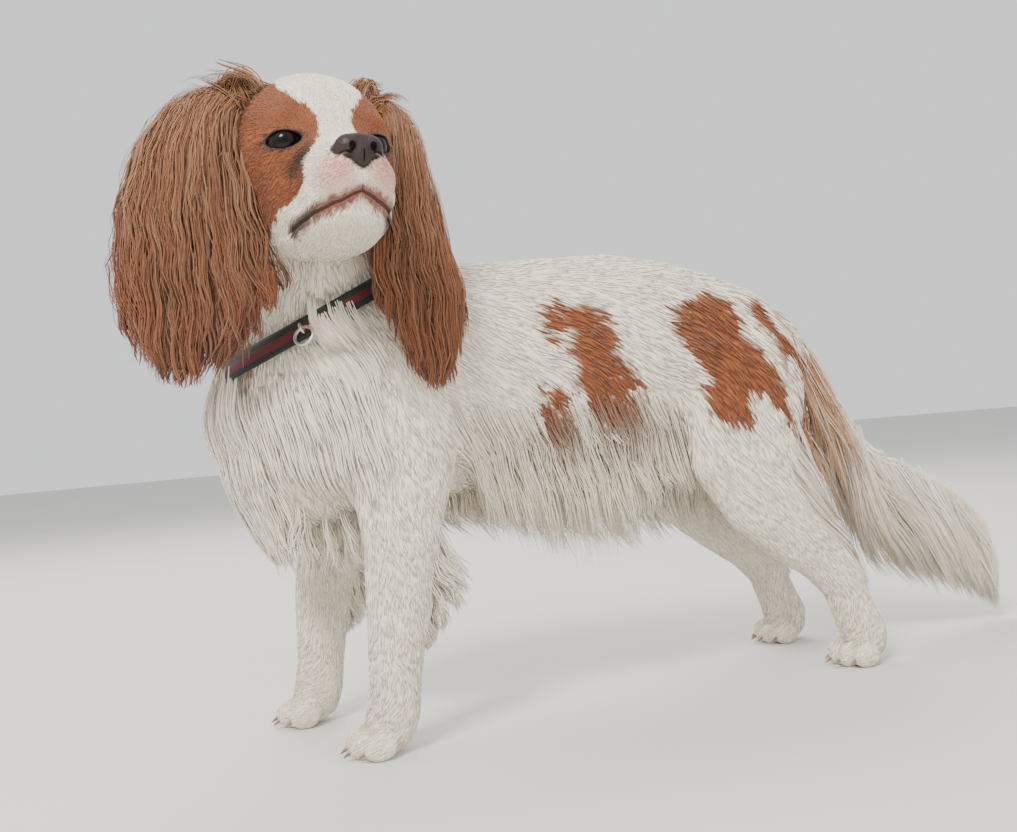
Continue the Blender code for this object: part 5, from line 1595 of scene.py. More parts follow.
def rump_guides(count, dice):
    """Guides that fall from the rump beside the tail over the rear of the thighs."""
    guides, faces = [], []
    for number in range(count):
        side = 1 if number % 2 else -1
        level = dice.uniform(0.165, 0.280)
        beam = Vector((side * dice.uniform(0.020, 0.056), 0.40, level))
        spot, normal, _, _ = made["skin_tree"].ray_cast(beam, -BACK)
        if spot is None or not 0.20 < spot.y < 0.31:
            continue
        fall = dice.uniform(0.070, 0.115) * (1.0 if level > 0.20 else 0.7)
        sway = dice.uniform(0.1, 1.3)
        points = [spot - normal * 0.001]
        for share, back in ((0.28, 0.012), (0.62, 0.028), (1.0, 0.040)):
            inward = -side * 0.012 * share * abs(spot.x) / 0.05
            points.append(spot + Vector((inward, back * sway, -share * fall)))
        guides.append([along_points(points, t) for t in np.linspace(0, 1, 8)])
        faces.append([(normal + Vector((side, 0.3, 0.0))).normalized()] * 8)
    return np.array(guides), np.array(faces)


def brisket_guides(count, dice):
    """Guides that hang wispy from the underside of the chest, between the forelegs."""
    guides, faces = [], []
    for _ in range(count):
        beam = Vector((dice.uniform(-0.042, 0.042), dice.uniform(-0.140, -0.040), 0.0))
        spot, normal, _, _ = made["skin_tree"].ray_cast(beam, UP)
        if spot is None or spot.z < 0.10:
            continue
        fall = dice.uniform(0.026, 0.046)
        curl = dice.uniform(-0.012, 0.012)
        points = [spot - normal * 0.001]
        for share in (0.35, 0.7, 1.0):
            aside = Vector((0.5 * curl * share, 0.006 * share + curl * share * share, 0))
            points.append(spot + aside - UP * (fall * share))
        guides.append([along_points(points, t) for t in np.linspace(0, 1, 8)])
        facing = Vector((1.0 if spot.x > 0 else -1.0, -0.8, 0.0)).normalized()
        faces.append([facing] * 8)
    return np.array(guides), np.array(faces)


def bib_guides(count, dice):
    centres = [centre for centre, _, _ in BIB]
    spans = [(wide, deep, 0.0) for _, wide, deep in BIB]
    guides, faces = [], []
    for number in range(count):
        start = 0.05 + 0.69 * (number + dice.random()) / count
        end = min(start + dice.uniform(0.26, 0.42), 1.0)
        turn = math.radians(dice.uniform(-85, 85))
        out = Vector((math.sin(turn), -math.cos(turn), 0))
        path = []
        for t in np.linspace(0, 1, 8):
            down = start + (end - start) * t
            wide, deep, _ = along_points(spans, down)
            lift = (-0.005 + 0.009 * math.sin(0.5 * math.pi * t)) * (1 - 0.4 * t)
            surface = Vector((out.x * wide, out.y * deep, 0))
            path.append(along_points(centres, down) + surface + out * lift)
        guides.append(path)
        faces.append([(out + Vector((0, 0, 0.2))).normalized()] * 8)
    return np.array(guides), np.array(faces)


def ear_guides(side, count, dice):
    """Guides down both faces of an ear, the outer ones in layers over each other."""
    guides, faces, downs = [], [], []
    for number in range(count):
        inner = number % 5 == 0
        start = 0.80 * (number + dice.random()) / count
        across = dice.uniform(-1.18, 0.98)
        length = dice.uniform(0.34, 0.60)
        end = min(start + length, 1.03 - 0.10 * across * across - dice.uniform(0, 0.06))
        drift = dice.uniform(-0.12, 0.12)
        layer = dice.uniform(0.2, 1.0)
        path, face = [], []
        for t in np.linspace(0, 1, 8):
            down = start + (end - start) * t
            place = across + drift * t
            normal = ear_normal(side, place * 0.85, down)
            if inner:
                normal = -normal
            rise = 0.0016 + layer * 0.0064 * math.sin(math.pi * min(0.18 + 0.6 * t, 1.0))
            rise *= 0.45 if inner else 1.0
            path.append(ear_point(side, place, down) + normal * rise)
            face.append(normal)
        guides.append(path)
        faces.append(face)
        downs.append(start)
    return np.array(guides), np.array(faces), np.array(downs)


def nose_form():
    """Nose leather with its nostrils."""
    bm = bmesh.new()
    add_masses(bm, NOSE_MASSES, 32)
    mesh = fused(mesh_from(bm), 0.45 * MM)
    mesh = smoothed(mesh, 14, np.ones(len(mesh.vertices)))
    bm = bmesh.new()
    add_masses(bm, NOSTRIL_MASSES, 20)
    nostrils = fused(mesh_from(bm), 0.3 * MM)
    bm = bmesh.new()
    add_masses(bm, GROOVE_MASS, 20)
    mesh = boolean(mesh, [nostrils], "DIFFERENCE")
    mesh = boolean(mesh, [mesh_from(bm)], "DIFFERENCE")
    return with_modifier(mesh, "SMOOTH", factor=0.5, iterations=2)


def collar_form(tree):
    """A band that follows the neck all round, with rounded edges."""
    turns = 120
    levels = np.linspace(-0.5, 0.5, 7)
    radii = []
    for level in (-0.5, 0.0, 0.5):
        row = [neck_radius(tree, 2 * math.pi * k / turns, level * BAND_WIDTH)[1]
               for k in range(turns)]
        row = [max(row[k - 2], row[k], row[(k + 2) % turns]) for k in range(turns)]
        for _ in range(6):
            row = [(row[k - 1] + row[k] + row[(k + 1) % turns]) / 3 for k in range(turns)]
        radii.append(row)
    bm = bmesh.new()
    uv = bm.loops.layers.uv.new("weave")
    outer = [(level, 1.0 - 0.25 * abs(2 * level) ** 6) for level in levels]
    profile = [(-0.5, 0.3), *outer, (0.5, 0.3), (0.4, 0.0), (-0.4, 0.0)]
    rows = []
    for k in range(turns):
        way, _ = neck_radius(tree, 2 * math.pi * k / turns, 0.0)
        row = []
        for level, share in profile:
            reach = np.interp(level, (-0.5, 0.0, 0.5), [radii[i][k] for i in range(3)])
            reach += BAND_OFF + share * BAND_THICKNESS
            row.append(bm.verts.new(COLLAR_AT + COLLAR_LIE * (level * BAND_WIDTH) + way * reach))
        rows.append(row)
    for k in range(turns):
        a, b = rows[k], rows[(k + 1) % turns]
        for i in range(len(profile)):
            j = (i + 1) % len(profile)
            face = bm.faces.new((a[i], b[i], b[j], a[j]))
            places = ((k, i), (k + 1, i), (k + 1, j), (k, j))
            for corner, (turn, place) in zip(face.loops, places):
                corner[uv].uv = (turn / turns, profile[place][0] + 0.5)
    bmesh.ops.recalc_face_normals(bm, faces=bm.faces)
    mesh = bpy.data.meshes.new("band")
    bm.to_mesh(mesh)
    bm.free()
    return mesh


def ring_place(band_tree):
    """Where the ring hangs on the band: its middle, axis and the eye's middle and axis."""
    spots = []
    for height in (-0.4 * BAND_WIDTH, 0.4 * BAND_WIDTH):
        way, reach = neck_radius(band_tree, RING_TURN, height)
        spots.append(COLLAR_AT + COLLAR_LIE * height + way * reach)
    rise = (spots[1] - spots[0]).normalized()
    along = rise.cross(way).normalized()
    out = along.cross(rise).normalized()
    loop_at = (spots[0] + spots[1]) / 2 + out * (LOOP_WIRE * 1.6)
    hang = (out * 0.45 - rise).normalized()
    top = loop_at + out * (LOOP_RADIUS - LOOP_WIRE - RING_WIRE - 0.3 * MM)
    return top + hang * RING_RADIUS, hang.cross(along).normalized(), loop_at, along


def wire_ring(name, centre, axis, radius, wire):
    """A torus at a place of the dog's frame."""
    turn = axis.to_track_quat("Z", "Y").to_euler()
    bpy.ops.object.select_all(action="DESELECT")
    bpy.ops.mesh.primitive_torus_add(
        major_radius=radius, minor_radius=wire, major_segments=64, minor_segments=16,
        location=centre, rotation=turn,
    )
    obj = bpy.context.object
    bpy.ops.object.transform_apply(location=True, rotation=True, scale=True)
    mesh = obj.data.copy()
    bpy.data.objects.remove(obj)
    return mesh


def node(tree, kind, **values):
    made_node = tree.nodes.new(kind)
    for name, value in values.items():
        if name in made_node.bl_rna.properties:
            setattr(made_node, name, value)
        else:
            made_node.inputs[name.replace("_", " ")].default_value = value
    return made_node


def fine_hair_group():
    """Fine light and dark hairs along a tuft, from its place across, along and by chance."""
    group = bpy.data.node_groups.new("fine_hairs", "ShaderNodeTree")
    face = group.interface
    face.new_socket("Strand", in_out="INPUT", socket_type="NodeSocketVector")
    face.new_socket("Coat", in_out="INPUT", socket_type="NodeSocketColor")
    face.new_socket("Contrast", in_out="INPUT", socket_type="NodeSocketFloat")
    face.new_socket("Coat", in_out="OUTPUT", socket_type="NodeSocketColor")
    face.new_socket("Height", in_out="OUTPUT", socket_type="NodeSocketFloat")
    start = group.nodes.new("NodeGroupInput")
    end = group.nodes.new("NodeGroupOutput")
    stretch = node(group, "ShaderNodeVectorMath", operation="MULTIPLY")
    stretch.inputs[1].default_value = (2.6, 0.5, 60.0)
    noise = node(group, "ShaderNodeTexNoise", Scale=1.6, Detail=3.0, Roughness=0.6)
    centre = node(group, "ShaderNodeMath", operation="SUBTRACT")
    centre.inputs[1].default_value = 0.5
    scale = node(group, "ShaderNodeMath", operation="MULTIPLY_ADD")
    scale.inputs[2].default_value = 1.0
    tint = node(group, "ShaderNodeMix", data_type="RGBA", blend_type="MULTIPLY")
    tint.inputs[0].default_value = 1.0
    link = group.links.new
    link(start.outputs["Strand"], stretch.inputs[0])
    link(stretch.outputs[0], noise.inputs["Vector"])
    link(noise.outputs[0], centre.inputs[0])
    link(centre.outputs[0], scale.inputs[0])
    link(start.outputs["Contrast"], scale.inputs[1])
    link(start.outputs["Coat"], tint.inputs[6])
    link(scale.outputs[0], tint.inputs[7])
    link(tint.outputs[2], end.inputs["Coat"])
    link(noise.outputs[0], end.inputs["Height"])
    return group


def new_material(name, roughness, **sockets):
    material = bpy.data.materials.new(name)
    material.use_nodes = True
    shader = material.node_tree.nodes["Principled BSDF"]
    shader.inputs["Roughness"].default_value = roughness
    for socket, value in sockets.items():
        shader.inputs[socket.replace("_", " ")].default_value = value
    return material, material.node_tree, shader


def coat_material(name, roughness, contrast, bump):
    """Coat whose colour comes from its markings, with fine hairs along each tuft."""
    material, tree, shader = new_material(
        name, roughness, Specular_IOR_Level=0.28, Sheen_Weight=0.12, Sheen_Roughness=0.5,
    )
    marks = node(tree, "ShaderNodeAttribute", attribute_name="markings")
    strand = node(tree, "ShaderNodeAttribute", attribute_name="strand")
    hairs = tree.nodes.new("ShaderNodeGroup")
    hairs.node_tree = made["fine_hairs"]
    hairs.inputs["Contrast"].default_value = contrast
    height = node(tree, "ShaderNodeBump", Strength=bump, Distance=0.4 * MM)
    link = tree.links.new
    link(marks.outputs["Color"], hairs.inputs["Coat"])
    link(strand.outputs["Vector"], hairs.inputs["Strand"])
    link(hairs.outputs["Coat"], shader.inputs["Base Color"])
    link(hairs.outputs["Height"], height.inputs["Height"])
    link(height.outputs[0], shader.inputs["Normal"])
    return material


def skin_material():
    """Skin with the coat's own markings and a fine grain of short hair."""
    material, tree, shader = new_material(
        "skin", 0.72, Specular_IOR_Level=0.25, Sheen_Weight=0.10, Sheen_Roughness=0.5,
    )
    marks = node(tree, "ShaderNodeAttribute", attribute_name="markings")
    place = tree.nodes.new("ShaderNodeTexCoord")
    grain = node(tree, "ShaderNodeTexNoise", Scale=900.0, Detail=4.0, Roughness=0.6)
    tone = node(tree, "ShaderNodeValToRGB")
    tone.color_ramp.elements[0].color = (0.84, 0.82, 0.80, 1)
    tone.color_ramp.elements[1].color = (1.0, 1.0, 1.0, 1)
    tint = node(tree, "ShaderNodeMix", data_type="RGBA", blend_type="MULTIPLY")
    tint.inputs[0].default_value = 1.0
    height = node(tree, "ShaderNodeBump", Strength=0.35, Distance=0.3 * MM)
    link = tree.links.new
    link(place.outputs["Object"], grain.inputs["Vector"])
    link(grain.outputs[0], tone.inputs[0])
    link(marks.outputs["Color"], tint.inputs[6])
    link(tone.outputs[0], tint.inputs[7])
    link(tint.outputs[2], shader.inputs["Base Color"])
    link(grain.outputs[0], height.inputs["Height"])
    link(height.outputs[0], shader.inputs["Normal"])
    return material


def eye_material():
    """Wet eye: black pupil, dark brown iris with fine rays and a darker rim."""
    material, tree, shader = new_material(
        "eye", 0.30, Specular_IOR_Level=0.05, Coat_Weight=0.35, Coat_Roughness=0.02,
    )
    gaze = node(tree, "ShaderNodeAttribute", attribute_name="gaze")
    split = tree.nodes.new("ShaderNodeSeparateXYZ")
    ramp = node(tree, "ShaderNodeValToRGB")
    iris = colours().iris
    stops = (
        (0.00, (0.002, 0.002, 0.002)), (0.235, (0.002, 0.002, 0.002)),
        (0.27, tuple(0.55 * c for c in iris)), (0.40, tuple(iris)),
        (0.52, tuple(0.5 * c for c in iris)), (0.57, (0.004, 0.003, 0.003)),
        (0.72, (0.016, 0.010, 0.008)),
    )
    ramp.color_ramp.elements[0].position = 0.0
    ramp.color_ramp.elements[0].color = (*stops[0][1], 1)
    ramp.color_ramp.elements[1].position = 1.0
    ramp.color_ramp.elements[1].color = (0.05, 0.03, 0.025, 1)
    for place, colour in stops[1:]:
        ramp.color_ramp.elements.new(place).color = (*colour, 1)
    rays = node(tree, "ShaderNodeTexNoise", Scale=9.0, Detail=3.0)
    stretch = node(tree, "ShaderNodeVectorMath", operation="MULTIPLY")
    stretch.inputs[1].default_value = (0.6, 1.6, 1.6)
    tone = node(tree, "ShaderNodeMapRange", To_Min=0.7, To_Max=1.3)
    tint = node(tree, "ShaderNodeMix", data_type="RGBA", blend_type="MULTIPLY")
    tint.inputs[0].default_value = 1.0
    link = tree.links.new
    link(gaze.outputs["Vector"], split.inputs[0])
    link(split.outputs[0], ramp.inputs[0])
    link(gaze.outputs["Vector"], stretch.inputs[0])
    link(stretch.outputs[0], rays.inputs["Vector"])
    link(rays.outputs[0], tone.inputs["Value"])
    link(ramp.outputs[0], tint.inputs[6])
    link(tone.outputs[0], tint.inputs[7])
    link(tint.outputs[2], shader.inputs["Base Color"])
    return material


def nose_material():
    """Moist nose leather with its pebbled grain."""
    material, tree, shader = new_material(
        "nose_leather", 0.48, Specular_IOR_Level=0.28, Coat_Weight=0.10, Coat_Roughness=0.3,
    )
    place = tree.nodes.new("ShaderNodeTexCoord")
    pebbles = node(tree, "ShaderNodeTexVoronoi", Scale=1150.0)
    mottle = node(tree, "ShaderNodeTexNoise", Scale=160.0, Detail=3.0)
    ramp = node(tree, "ShaderNodeValToRGB")
    tone = np.array(colours().nose[:])
    ramp.color_ramp.elements[0].color = (*(0.7 * tone), 1)
    ramp.color_ramp.elements[1].color = (*(1.7 * tone), 1)
    height = node(tree, "ShaderNodeBump", Strength=0.5, Distance=0.35 * MM)
    height.invert = True
    link = tree.links.new
    link(place.outputs["Object"], pebbles.inputs["Vector"])
    link(place.outputs["Object"], mottle.inputs["Vector"])
    link(mottle.outputs[0], ramp.inputs[0])
    link(ramp.outputs[0], shader.inputs["Base Color"])
    link(pebbles.outputs["Distance"], height.inputs["Height"])
    link(height.outputs[0], shader.inputs["Normal"])
    return material


def claw_material():
    material, tree, shader = new_material("claw", 0.38, Specular_IOR_Level=0.5)
    place = tree.nodes.new("ShaderNodeTexCoord")
    grain = node(tree, "ShaderNodeTexNoise", Scale=420.0, Detail=3.0)
    ramp = node(tree, "ShaderNodeValToRGB")
    ramp.color_ramp.elements[0].color = (0.10, 0.065, 0.045, 1)
    ramp.color_ramp.elements[1].color = (0.30, 0.21, 0.15, 1)
    link = tree.links.new
    link(place.outputs["Object"], grain.inputs["Vector"])
    link(grain.outputs[0], ramp.inputs[0])
    link(ramp.outputs[0], shader.inputs["Base Color"])
    return material


def webbing_material():
    """Woven webbing: dark edges, a red middle stripe and the weave's ribs."""
    material, tree, shader = new_material(
        "collar_webbing", 0.62, Specular_IOR_Level=0.35, Sheen_Weight=0.15,
    )
    uv = node(tree, "ShaderNodeUVMap", uv_map="weave")
    split = tree.nodes.new("ShaderNodeSeparateXYZ")
    ramp = node(tree, "ShaderNodeValToRGB")
    ramp.color_ramp.interpolation = "CONSTANT"
    edge, middle = (*colours().collar_edge, 1), (*colours().collar_middle, 1)
    ramp.color_ramp.elements[0].color = edge
    ramp.color_ramp.elements[1].position = 0.30
    ramp.color_ramp.elements[1].color = middle
    ramp.color_ramp.elements.new(0.68).color = edge
    scale = node(tree, "ShaderNodeVectorMath", operation="MULTIPLY")
    scale.inputs[1].default_value = (260.0, 9.0, 1.0)
    checks = node(tree, "ShaderNodeTexVoronoi", Scale=1.0, Randomness=0.15)
    tone = node(tree, "ShaderNodeMapRange", To_Min=1.25, To_Max=0.45)
    tint = node(tree, "ShaderNodeMix", data_type="RGBA", blend_type="MULTIPLY")
    tint.inputs[0].default_value = 1.0
    height = node(tree, "ShaderNodeBump", Strength=0.6, Distance=0.4 * MM)
    height.invert = True
    link = tree.links.new
    link(uv.outputs[0], split.inputs[0])
    link(split.outputs[1], ramp.inputs[0])
    link(uv.outputs[0], scale.inputs[0])
    link(scale.outputs[0], checks.inputs["Vector"])
    link(checks.outputs["Distance"], tone.inputs["Value"])
    link(ramp.outputs[0], tint.inputs[6])
    link(tone.outputs[0], tint.inputs[7])
    link(tint.outputs[2], shader.inputs["Base Color"])
    link(checks.outputs["Distance"], height.inputs["Height"])
    link(height.outputs[0], shader.inputs["Normal"])
    return material


def metal_material():
    material, tree, shader = new_material("ring_metal", 0.28, Metallic=1.0)
    place = tree.nodes.new("ShaderNodeTexCoord")
    grain = node(tree, "ShaderNodeTexNoise", Scale=600.0, Detail=4.0)
    rough = node(tree, "ShaderNodeMapRange", To_Min=0.18, To_Max=0.42)
    shader.inputs["Base Color"].default_value = (0.62, 0.60, 0.56, 1)
    tree.links.new(place.outputs["Object"], grain.inputs["Vector"])
    tree.links.new(grain.outputs[0], rough.inputs["Value"])
    tree.links.new(rough.outputs[0], shader.inputs["Roughness"])
    return material


class SPANIEL_OT_camera(bpy.types.Operator):
    """Sets the camera at the viewing angle of the reference"""

    bl_idname = "spaniel.camera"
    bl_label = "Camera"

    def execute(self, context):
        azimuth, roll, pitch = math.radians(69.5), math.radians(5.0), math.radians(1.0)
        level = Vector((-math.sin(azimuth), math.cos(azimuth), 0))
        right = Vector((math.cos(azimuth), math.sin(azimuth), 0))
        ahead = level * math.cos(pitch) + UP * math.sin(pitch)
        above = UP * math.cos(pitch) - level * math.sin(pitch)
        across = right * math.cos(roll) - above * math.sin(roll)
        above = above * math.cos(roll) + right * math.sin(roll)
        data = bpy.data.cameras.new("camera")
        data.sensor_width = 36.0
        data.lens = 37.98
        data.clip_start = 0.01
        camera = bpy.data.objects.new("camera", data)
        turn = Matrix((across, above, -ahead)).transposed().to_4x4()
        place = Vector((0.7472125, -0.2373075, 0.2)) + ORIGIN_SHIFT
        camera.matrix_world = Matrix.Translation(place) @ turn
        context.scene.collection.objects.link(camera)
        context.scene.camera = camera
        return {"FINISHED"}


class SPANIEL_OT_skin(bpy.types.Operator):
    """Shapes the skin with its lids and mouth, and its markings"""

    bl_idname = "spaniel.skin"
    bl_label = "Skin"

    def execute(self, context):
        mesh = lean_skin(shape_skin())
        made["skin_mesh"] = mesh.copy()
        made["skin_tree"] = tree_of(mesh)
        made["unwrap"] = Unwrap(mesh)
        put_colours(mesh, markings(coordinates(mesh)))
        piece("skin", mesh, skin_material(), FLESH)
        return {"FINISHED"}


class SPANIEL_OT_eyes(bpy.types.Operator):
    """Makes both eyes"""

    bl_idname = "spaniel.eyes"
    bl_label = "Eyes"

    def execute(self, context):
        material = eye_material()
        for side, hand in ((1, "left"), (-1, "right")):
            bpy.ops.object.select_all(action="DESELECT")
            bpy.ops.mesh.primitive_uv_sphere_add(
                segments=96, ring_count=64, radius=EYE_RADIUS - 0.05 * MM,
                rotation=(math.radians(90), 0, 0),
            )
            ball_object = context.object
            bpy.ops.object.transform_apply(location=True, rotation=True, scale=True)
            mesh = ball_object.data.copy()
            bpy.data.objects.remove(ball_object)
            points = coordinates(mesh)
            away = np.linalg.norm(points[:, [0, 2]], axis=1) / EYE_RADIUS
            front = points[:, 1] < 0
            bulge = 0.55 * MM * np.exp(-((away / 0.42) ** 4)) * front
            points[:, 1] -= bulge
            gaze = np.where(front, away, 1.0)[:, None]
            layer = mesh.attributes.new("gaze", "FLOAT_VECTOR", "POINT")
            rays = np.concatenate([gaze, unit(points[:, [0, 2]] + 1e-9)], 1)
            layer.data.foreach_set("vector", rays.astype(np.float32).ravel())
            put_coordinates(mesh, points)
            mesh.transform(eye_place(side))
            piece("eyeball_" + hand, mesh, material, ("eye_" + hand,))
        return {"FINISHED"}


class SPANIEL_OT_nose(bpy.types.Operator):
    """Makes the nose leather"""

    bl_idname = "spaniel.nose"
    bl_label = "Nose"

    def execute(self, context):
        mesh = nose_form()
        made["nose_tree"] = tree_of(mesh)
        piece("nose_leather", mesh, nose_material(), ("nose",))
        return {"FINISHED"}


class SPANIEL_OT_claws(bpy.types.Operator):
    """Makes the claws of all four feet"""

    bl_idname = "spaniel.claws"
    bl_label = "Claws"

    def execute(self, context):
        bm = bmesh.new()
        for side in (1, -1):
            for toes_at, step in ((FORE_TOES, FORE_STEP[side]), (HIND_TOES, HIND_STEP[side])):
                for centre in toe_centres(toes_at, side, step):
                    rings = []
                    for share in (0.0, 0.2, 0.45, 0.7, 0.88, 1.0):
                        size = CLAW_RADIUS * (1 - share ** 2.2) ** 0.6 + 0.10 * MM
                        ahead = TOE_RADII[1] * 0.50 + CLAW_LENGTH * share
                        drop = CLAW_LENGTH * 0.45 * share * share
                        middle = centre + Vector((0, -ahead, -TOE_RADII[2] * 0.12 - drop))
                        middle.z = max(middle.z, SOLE_TRIM + size + 0.2 * MM)
                        rings.append(ring(middle, LEFT, UP, size * 0.85, size * 1.1, 14))
                    loft(bm, rings)
        piece("claws", mesh_from(bm), claw_material())
        return {"FINISHED"}


class SPANIEL_OT_collar(bpy.types.Operator):
    """Makes the collar with its ring"""

    bl_idname = "spaniel.collar"
    bl_label = "Collar"

    def execute(self, context):
        neck = frame["nodes"]["neck"].data.copy()
        neck.transform(frame["nodes"]["neck"].matrix_world)
        neck.transform(Matrix.Translation(-ORIGIN_SHIFT))
        band = collar_form(tree_of(neck))
        tree = tree_of(band)
        made["band_tree"] = tree
        ring_at, ring_axis, loop_at, loop_axis = ring_place(tree)
        piece("collar_band", band, webbing_material(), ("collar",))
        metal = metal_material()
        loop = wire_ring("loop", loop_at, loop_axis, LOOP_RADIUS, LOOP_WIRE)
        piece("collar_loop", loop, metal)
        ring_mesh = wire_ring("ring", ring_at, ring_axis, RING_RADIUS, RING_WIRE)
        piece("tag_ring", ring_mesh, metal, ("collar_ring",))
        return {"FINISHED"}


def region(points, normals):
    """Number of the part of the body that a spot lies on."""
    from_head = np.linalg.norm(points - np.array(EYES_AT), axis=1)
    left, forward, up = to_head(points).T
    on_head = (from_head < 0.120) & (forward > -0.094) & (up > -0.080)
    low = points[:, 2] < 0.175
    legs = low & (np.abs(points[:, 0]) > 0.026)
    found = np.where(points[:, 0] > 0, 2, 3)
    found = np.where((points[:, 1] < -0.05) & (points[:, 2] > 0.235), 4, found)
    found = np.where(legs, np.where(points[:, 1] < 0.08, 5, 6), found)
    return np.where(on_head, np.where(left > 0, 0, 1), found)


COAT_PARTS = (
    "coat_head_left", "coat_head_right", "coat_trunk_left", "coat_trunk_right",
    "coat_neck", "coat_front_legs", "coat_hind_legs",
)


class SPANIEL_OT_short_coat(bpy.types.Operator):
    """Covers head, trunk, neck and legs with short tufts"""

    bl_idname = "spaniel.short_coat"
    bl_label = "Short coat"

    def execute(self, context):
        dice = np.random.default_rng(5)
        skin_tree = made["skin_tree"]
        mouth = [tube(made["mouth"], 1.3 * MM), tube(lip_split(skin_tree), 0.6 * MM, 6)]
        made["keep_off"] = [(made["nose_tree"], 0.5 * MM)]
        made["keep_off"] += [(tree_of(mesh), 0.45 * MM) for mesh in mouth]
        made["keep_off"] += [(made["band_tree"], 0.4 * MM)]

        def head_share(points, normals):
            return (region(points, normals) < 2) & ~near_eyes(points, 0.0)

        def body_share(points, normals):
            sole = (points[:, 2] < 4 * MM) | ((points[:, 2] < 14 * MM) & (normals[:, 2] < -0.6))
            return (region(points, normals) >= 2) & ~sole

        head = short_tufts(head_share, sizes().head_tufts, 1.0, dice)
        body = short_tufts(body_share, sizes().body_tufts, 1.0, dice)
        paths, faces = (np.concatenate([head[i], body[i]]) for i in range(2))
        widths = np.concatenate([head[2], body[2]])
        part = region(paths[:, 0], faces[:, 0])
        middle = np.where(part[:, None] > 1, paths[:, 1], paths[:, 0])
        colour = markings(middle)[:, None]
        material = coat_material("short_coat", 0.62, 0.40, 0.2)
        for number, name in enumerate(COAT_PARTS):
            some = part == number
            mesh = hair_mesh(
                paths[some], faces[some], widths[some], colour[some], SHORT_TAPER, 0.40, dice
            )
            piece(name, mesh, material)
            print(name, int(some.sum()), "tufts", len(mesh.polygons), "faces")
        return {"FINISHED"}


def long_piece(name, groups, material, dice, thick=0.45):
    """A piece of long strands from groups of (paths, faces, widths, colours)."""
    paths, good = kept_clear(np.concatenate([group[0] for group in groups]), 0.6 * MM)
    rest = [np.concatenate([group[i] for group in groups])[good] for i in (1, 2, 3)]
    paths, (faces, widths, colour) = paths[good], rest
    taper = long_taper(paths.shape[1] - 1)
    mesh = hair_mesh(paths, faces, widths, colour, taper, thick, dice)
    piece(name, mesh, material)
    print(name, len(paths), "strands", len(mesh.polygons), "faces")


def dressed(guides, faces, each, spread, width, wave, dice, rings=6):
    """Strands round guides with the colours of the skin's markings at root and tip."""
    path, face, widths, _ = strands(
        resampled(guides, rings), resampled(faces, rings), each, spread, width, wave, dice
    )
    return path, face, widths, np.stack([markings(path[:, 0]), markings(path[:, -1])], 1)


class SPANIEL_OT_long_coat(bpy.types.Operator):
    """Hangs the bib, belly fringe, leg feathers and trousers"""

    bl_idname = "spaniel.long_coat"
    bl_label = "Long coat"

    def execute(self, context):
        dice = np.random.default_rng(7)
        material = made["long_coat"] = coat_material("long_coat", 0.52, 0.45, 0.2)
        bib = dressed(*bib_guides(190, dice), 8, 5.5 * MM, 1.15 * MM, (1.8 * MM, 0.055), dice)

        def chest(points, normals):
            front = (points[:, 1] < -0.075) & (points[:, 2] > 0.195) & (points[:, 2] < 0.300)
            height = (points - np.array(COLLAR_AT)) @ np.array(COLLAR_LIE)
            edge = -0.0125 + 0.0025 * ripple(points, 0.006, 3.0)
            return front & (height < edge) & (region(points, normals) > 1)

        ruff = walked_guides(300, chest, 0.042, 2.4 * MM, dice)
        ruff = dressed(*ruff, 7, 5.0 * MM, 1.1 * MM, (1.2 * MM, 0.045), dice)
        wisps = dressed(*brisket_guides(110, dice), 6, 3.5 * MM, 0.9 * MM, (2.6 * MM, 0.035), dice)
        long_piece("coat_chest", [bib, ruff, wisps], material, dice, 0.35)

        belly = dressed(
            *belly_guides(130, dice), 8, 5.5 * MM, 1.0 * MM, (2.8 * MM, 0.048), dice, 7
        )
        flanks = dressed(
            *flank_guides(280, dice), 7, 5.0 * MM, 1.1 * MM, (2.6 * MM, 0.048), dice, 7
        )
        for group in (belly, flanks):
            group[3][:, 1] = (0.80, 0.71, 0.57)
        long_piece("coat_belly", [belly, flanks], material, dice, 0.35)

        def over_collar(points, normals):
            height = (points - np.array(COLLAR_AT)) @ np.array(COLLAR_LIE)
            near = (height > 0.007) & (height < 0.026) & (region(points, normals) > 1)
            offset = points - np.array(COLLAR_AT)
            turn = np.degrees(np.arctan2(offset[:, 0], -offset[:, 1]))
            shown = (turn > 8) & (turn < 70)
            return near * np.where(shown, 0.0, np.where(np.abs(turn - 30) < 90, 3.0, 1.0))

        nape = walked_guides(290, over_collar, 0.044, 7.5 * MM, dice)
        nape = dressed(*nape, 8, 3.6 * MM, 0.75 * MM, (1.0 * MM, 0.045), dice)
        long_piece("coat_over_collar", [nape], material, dice)
        feathers, trousers = [], []
        for side in (1, -1):
            guides = fin_guides(FEATHER, side * FORE_TOES.x, FORE_STEP[side], 90, 0.34, dice)
            feathers.append(dressed(*guides, 9, 4.0 * MM, 0.95 * MM, (2.8 * MM, 0.036), dice))
            guides = fin_guides(TROUSERS, side * HIND_TOES.x, HIND_STEP[side], 160, 0.34, dice)
            trousers.append(dressed(*guides, 9, 5.0 * MM, 1.0 * MM, (2.2 * MM, 0.050), dice))
        path, face, widths, colour = dressed(
            *rump_guides(210, dice), 8, 4.4 * MM, 0.9 * MM, (2.4 * MM, 0.060), dice
        )
        mixed = dice.random((len(path), 1))
        sandy = np.array(colours().pale_hair[:]) * (1 + 0.5 * mixed)
        rust = np.array(colours().chestnut[:]) * 1.25
        colour[:, 0] = np.where(mixed < 0.30, colour[:, 0], np.where(mixed < 0.65, rust, sandy))
        colour[:, 1] = np.where(mixed < 0.15, colours().white[:], sandy)
        trousers.append((path, face, widths, colour))
        long_piece("coat_leg_feathers", feathers, material, dice)
        long_piece("coat_trousers", trousers, material, dice)
        return {"FINISHED"}


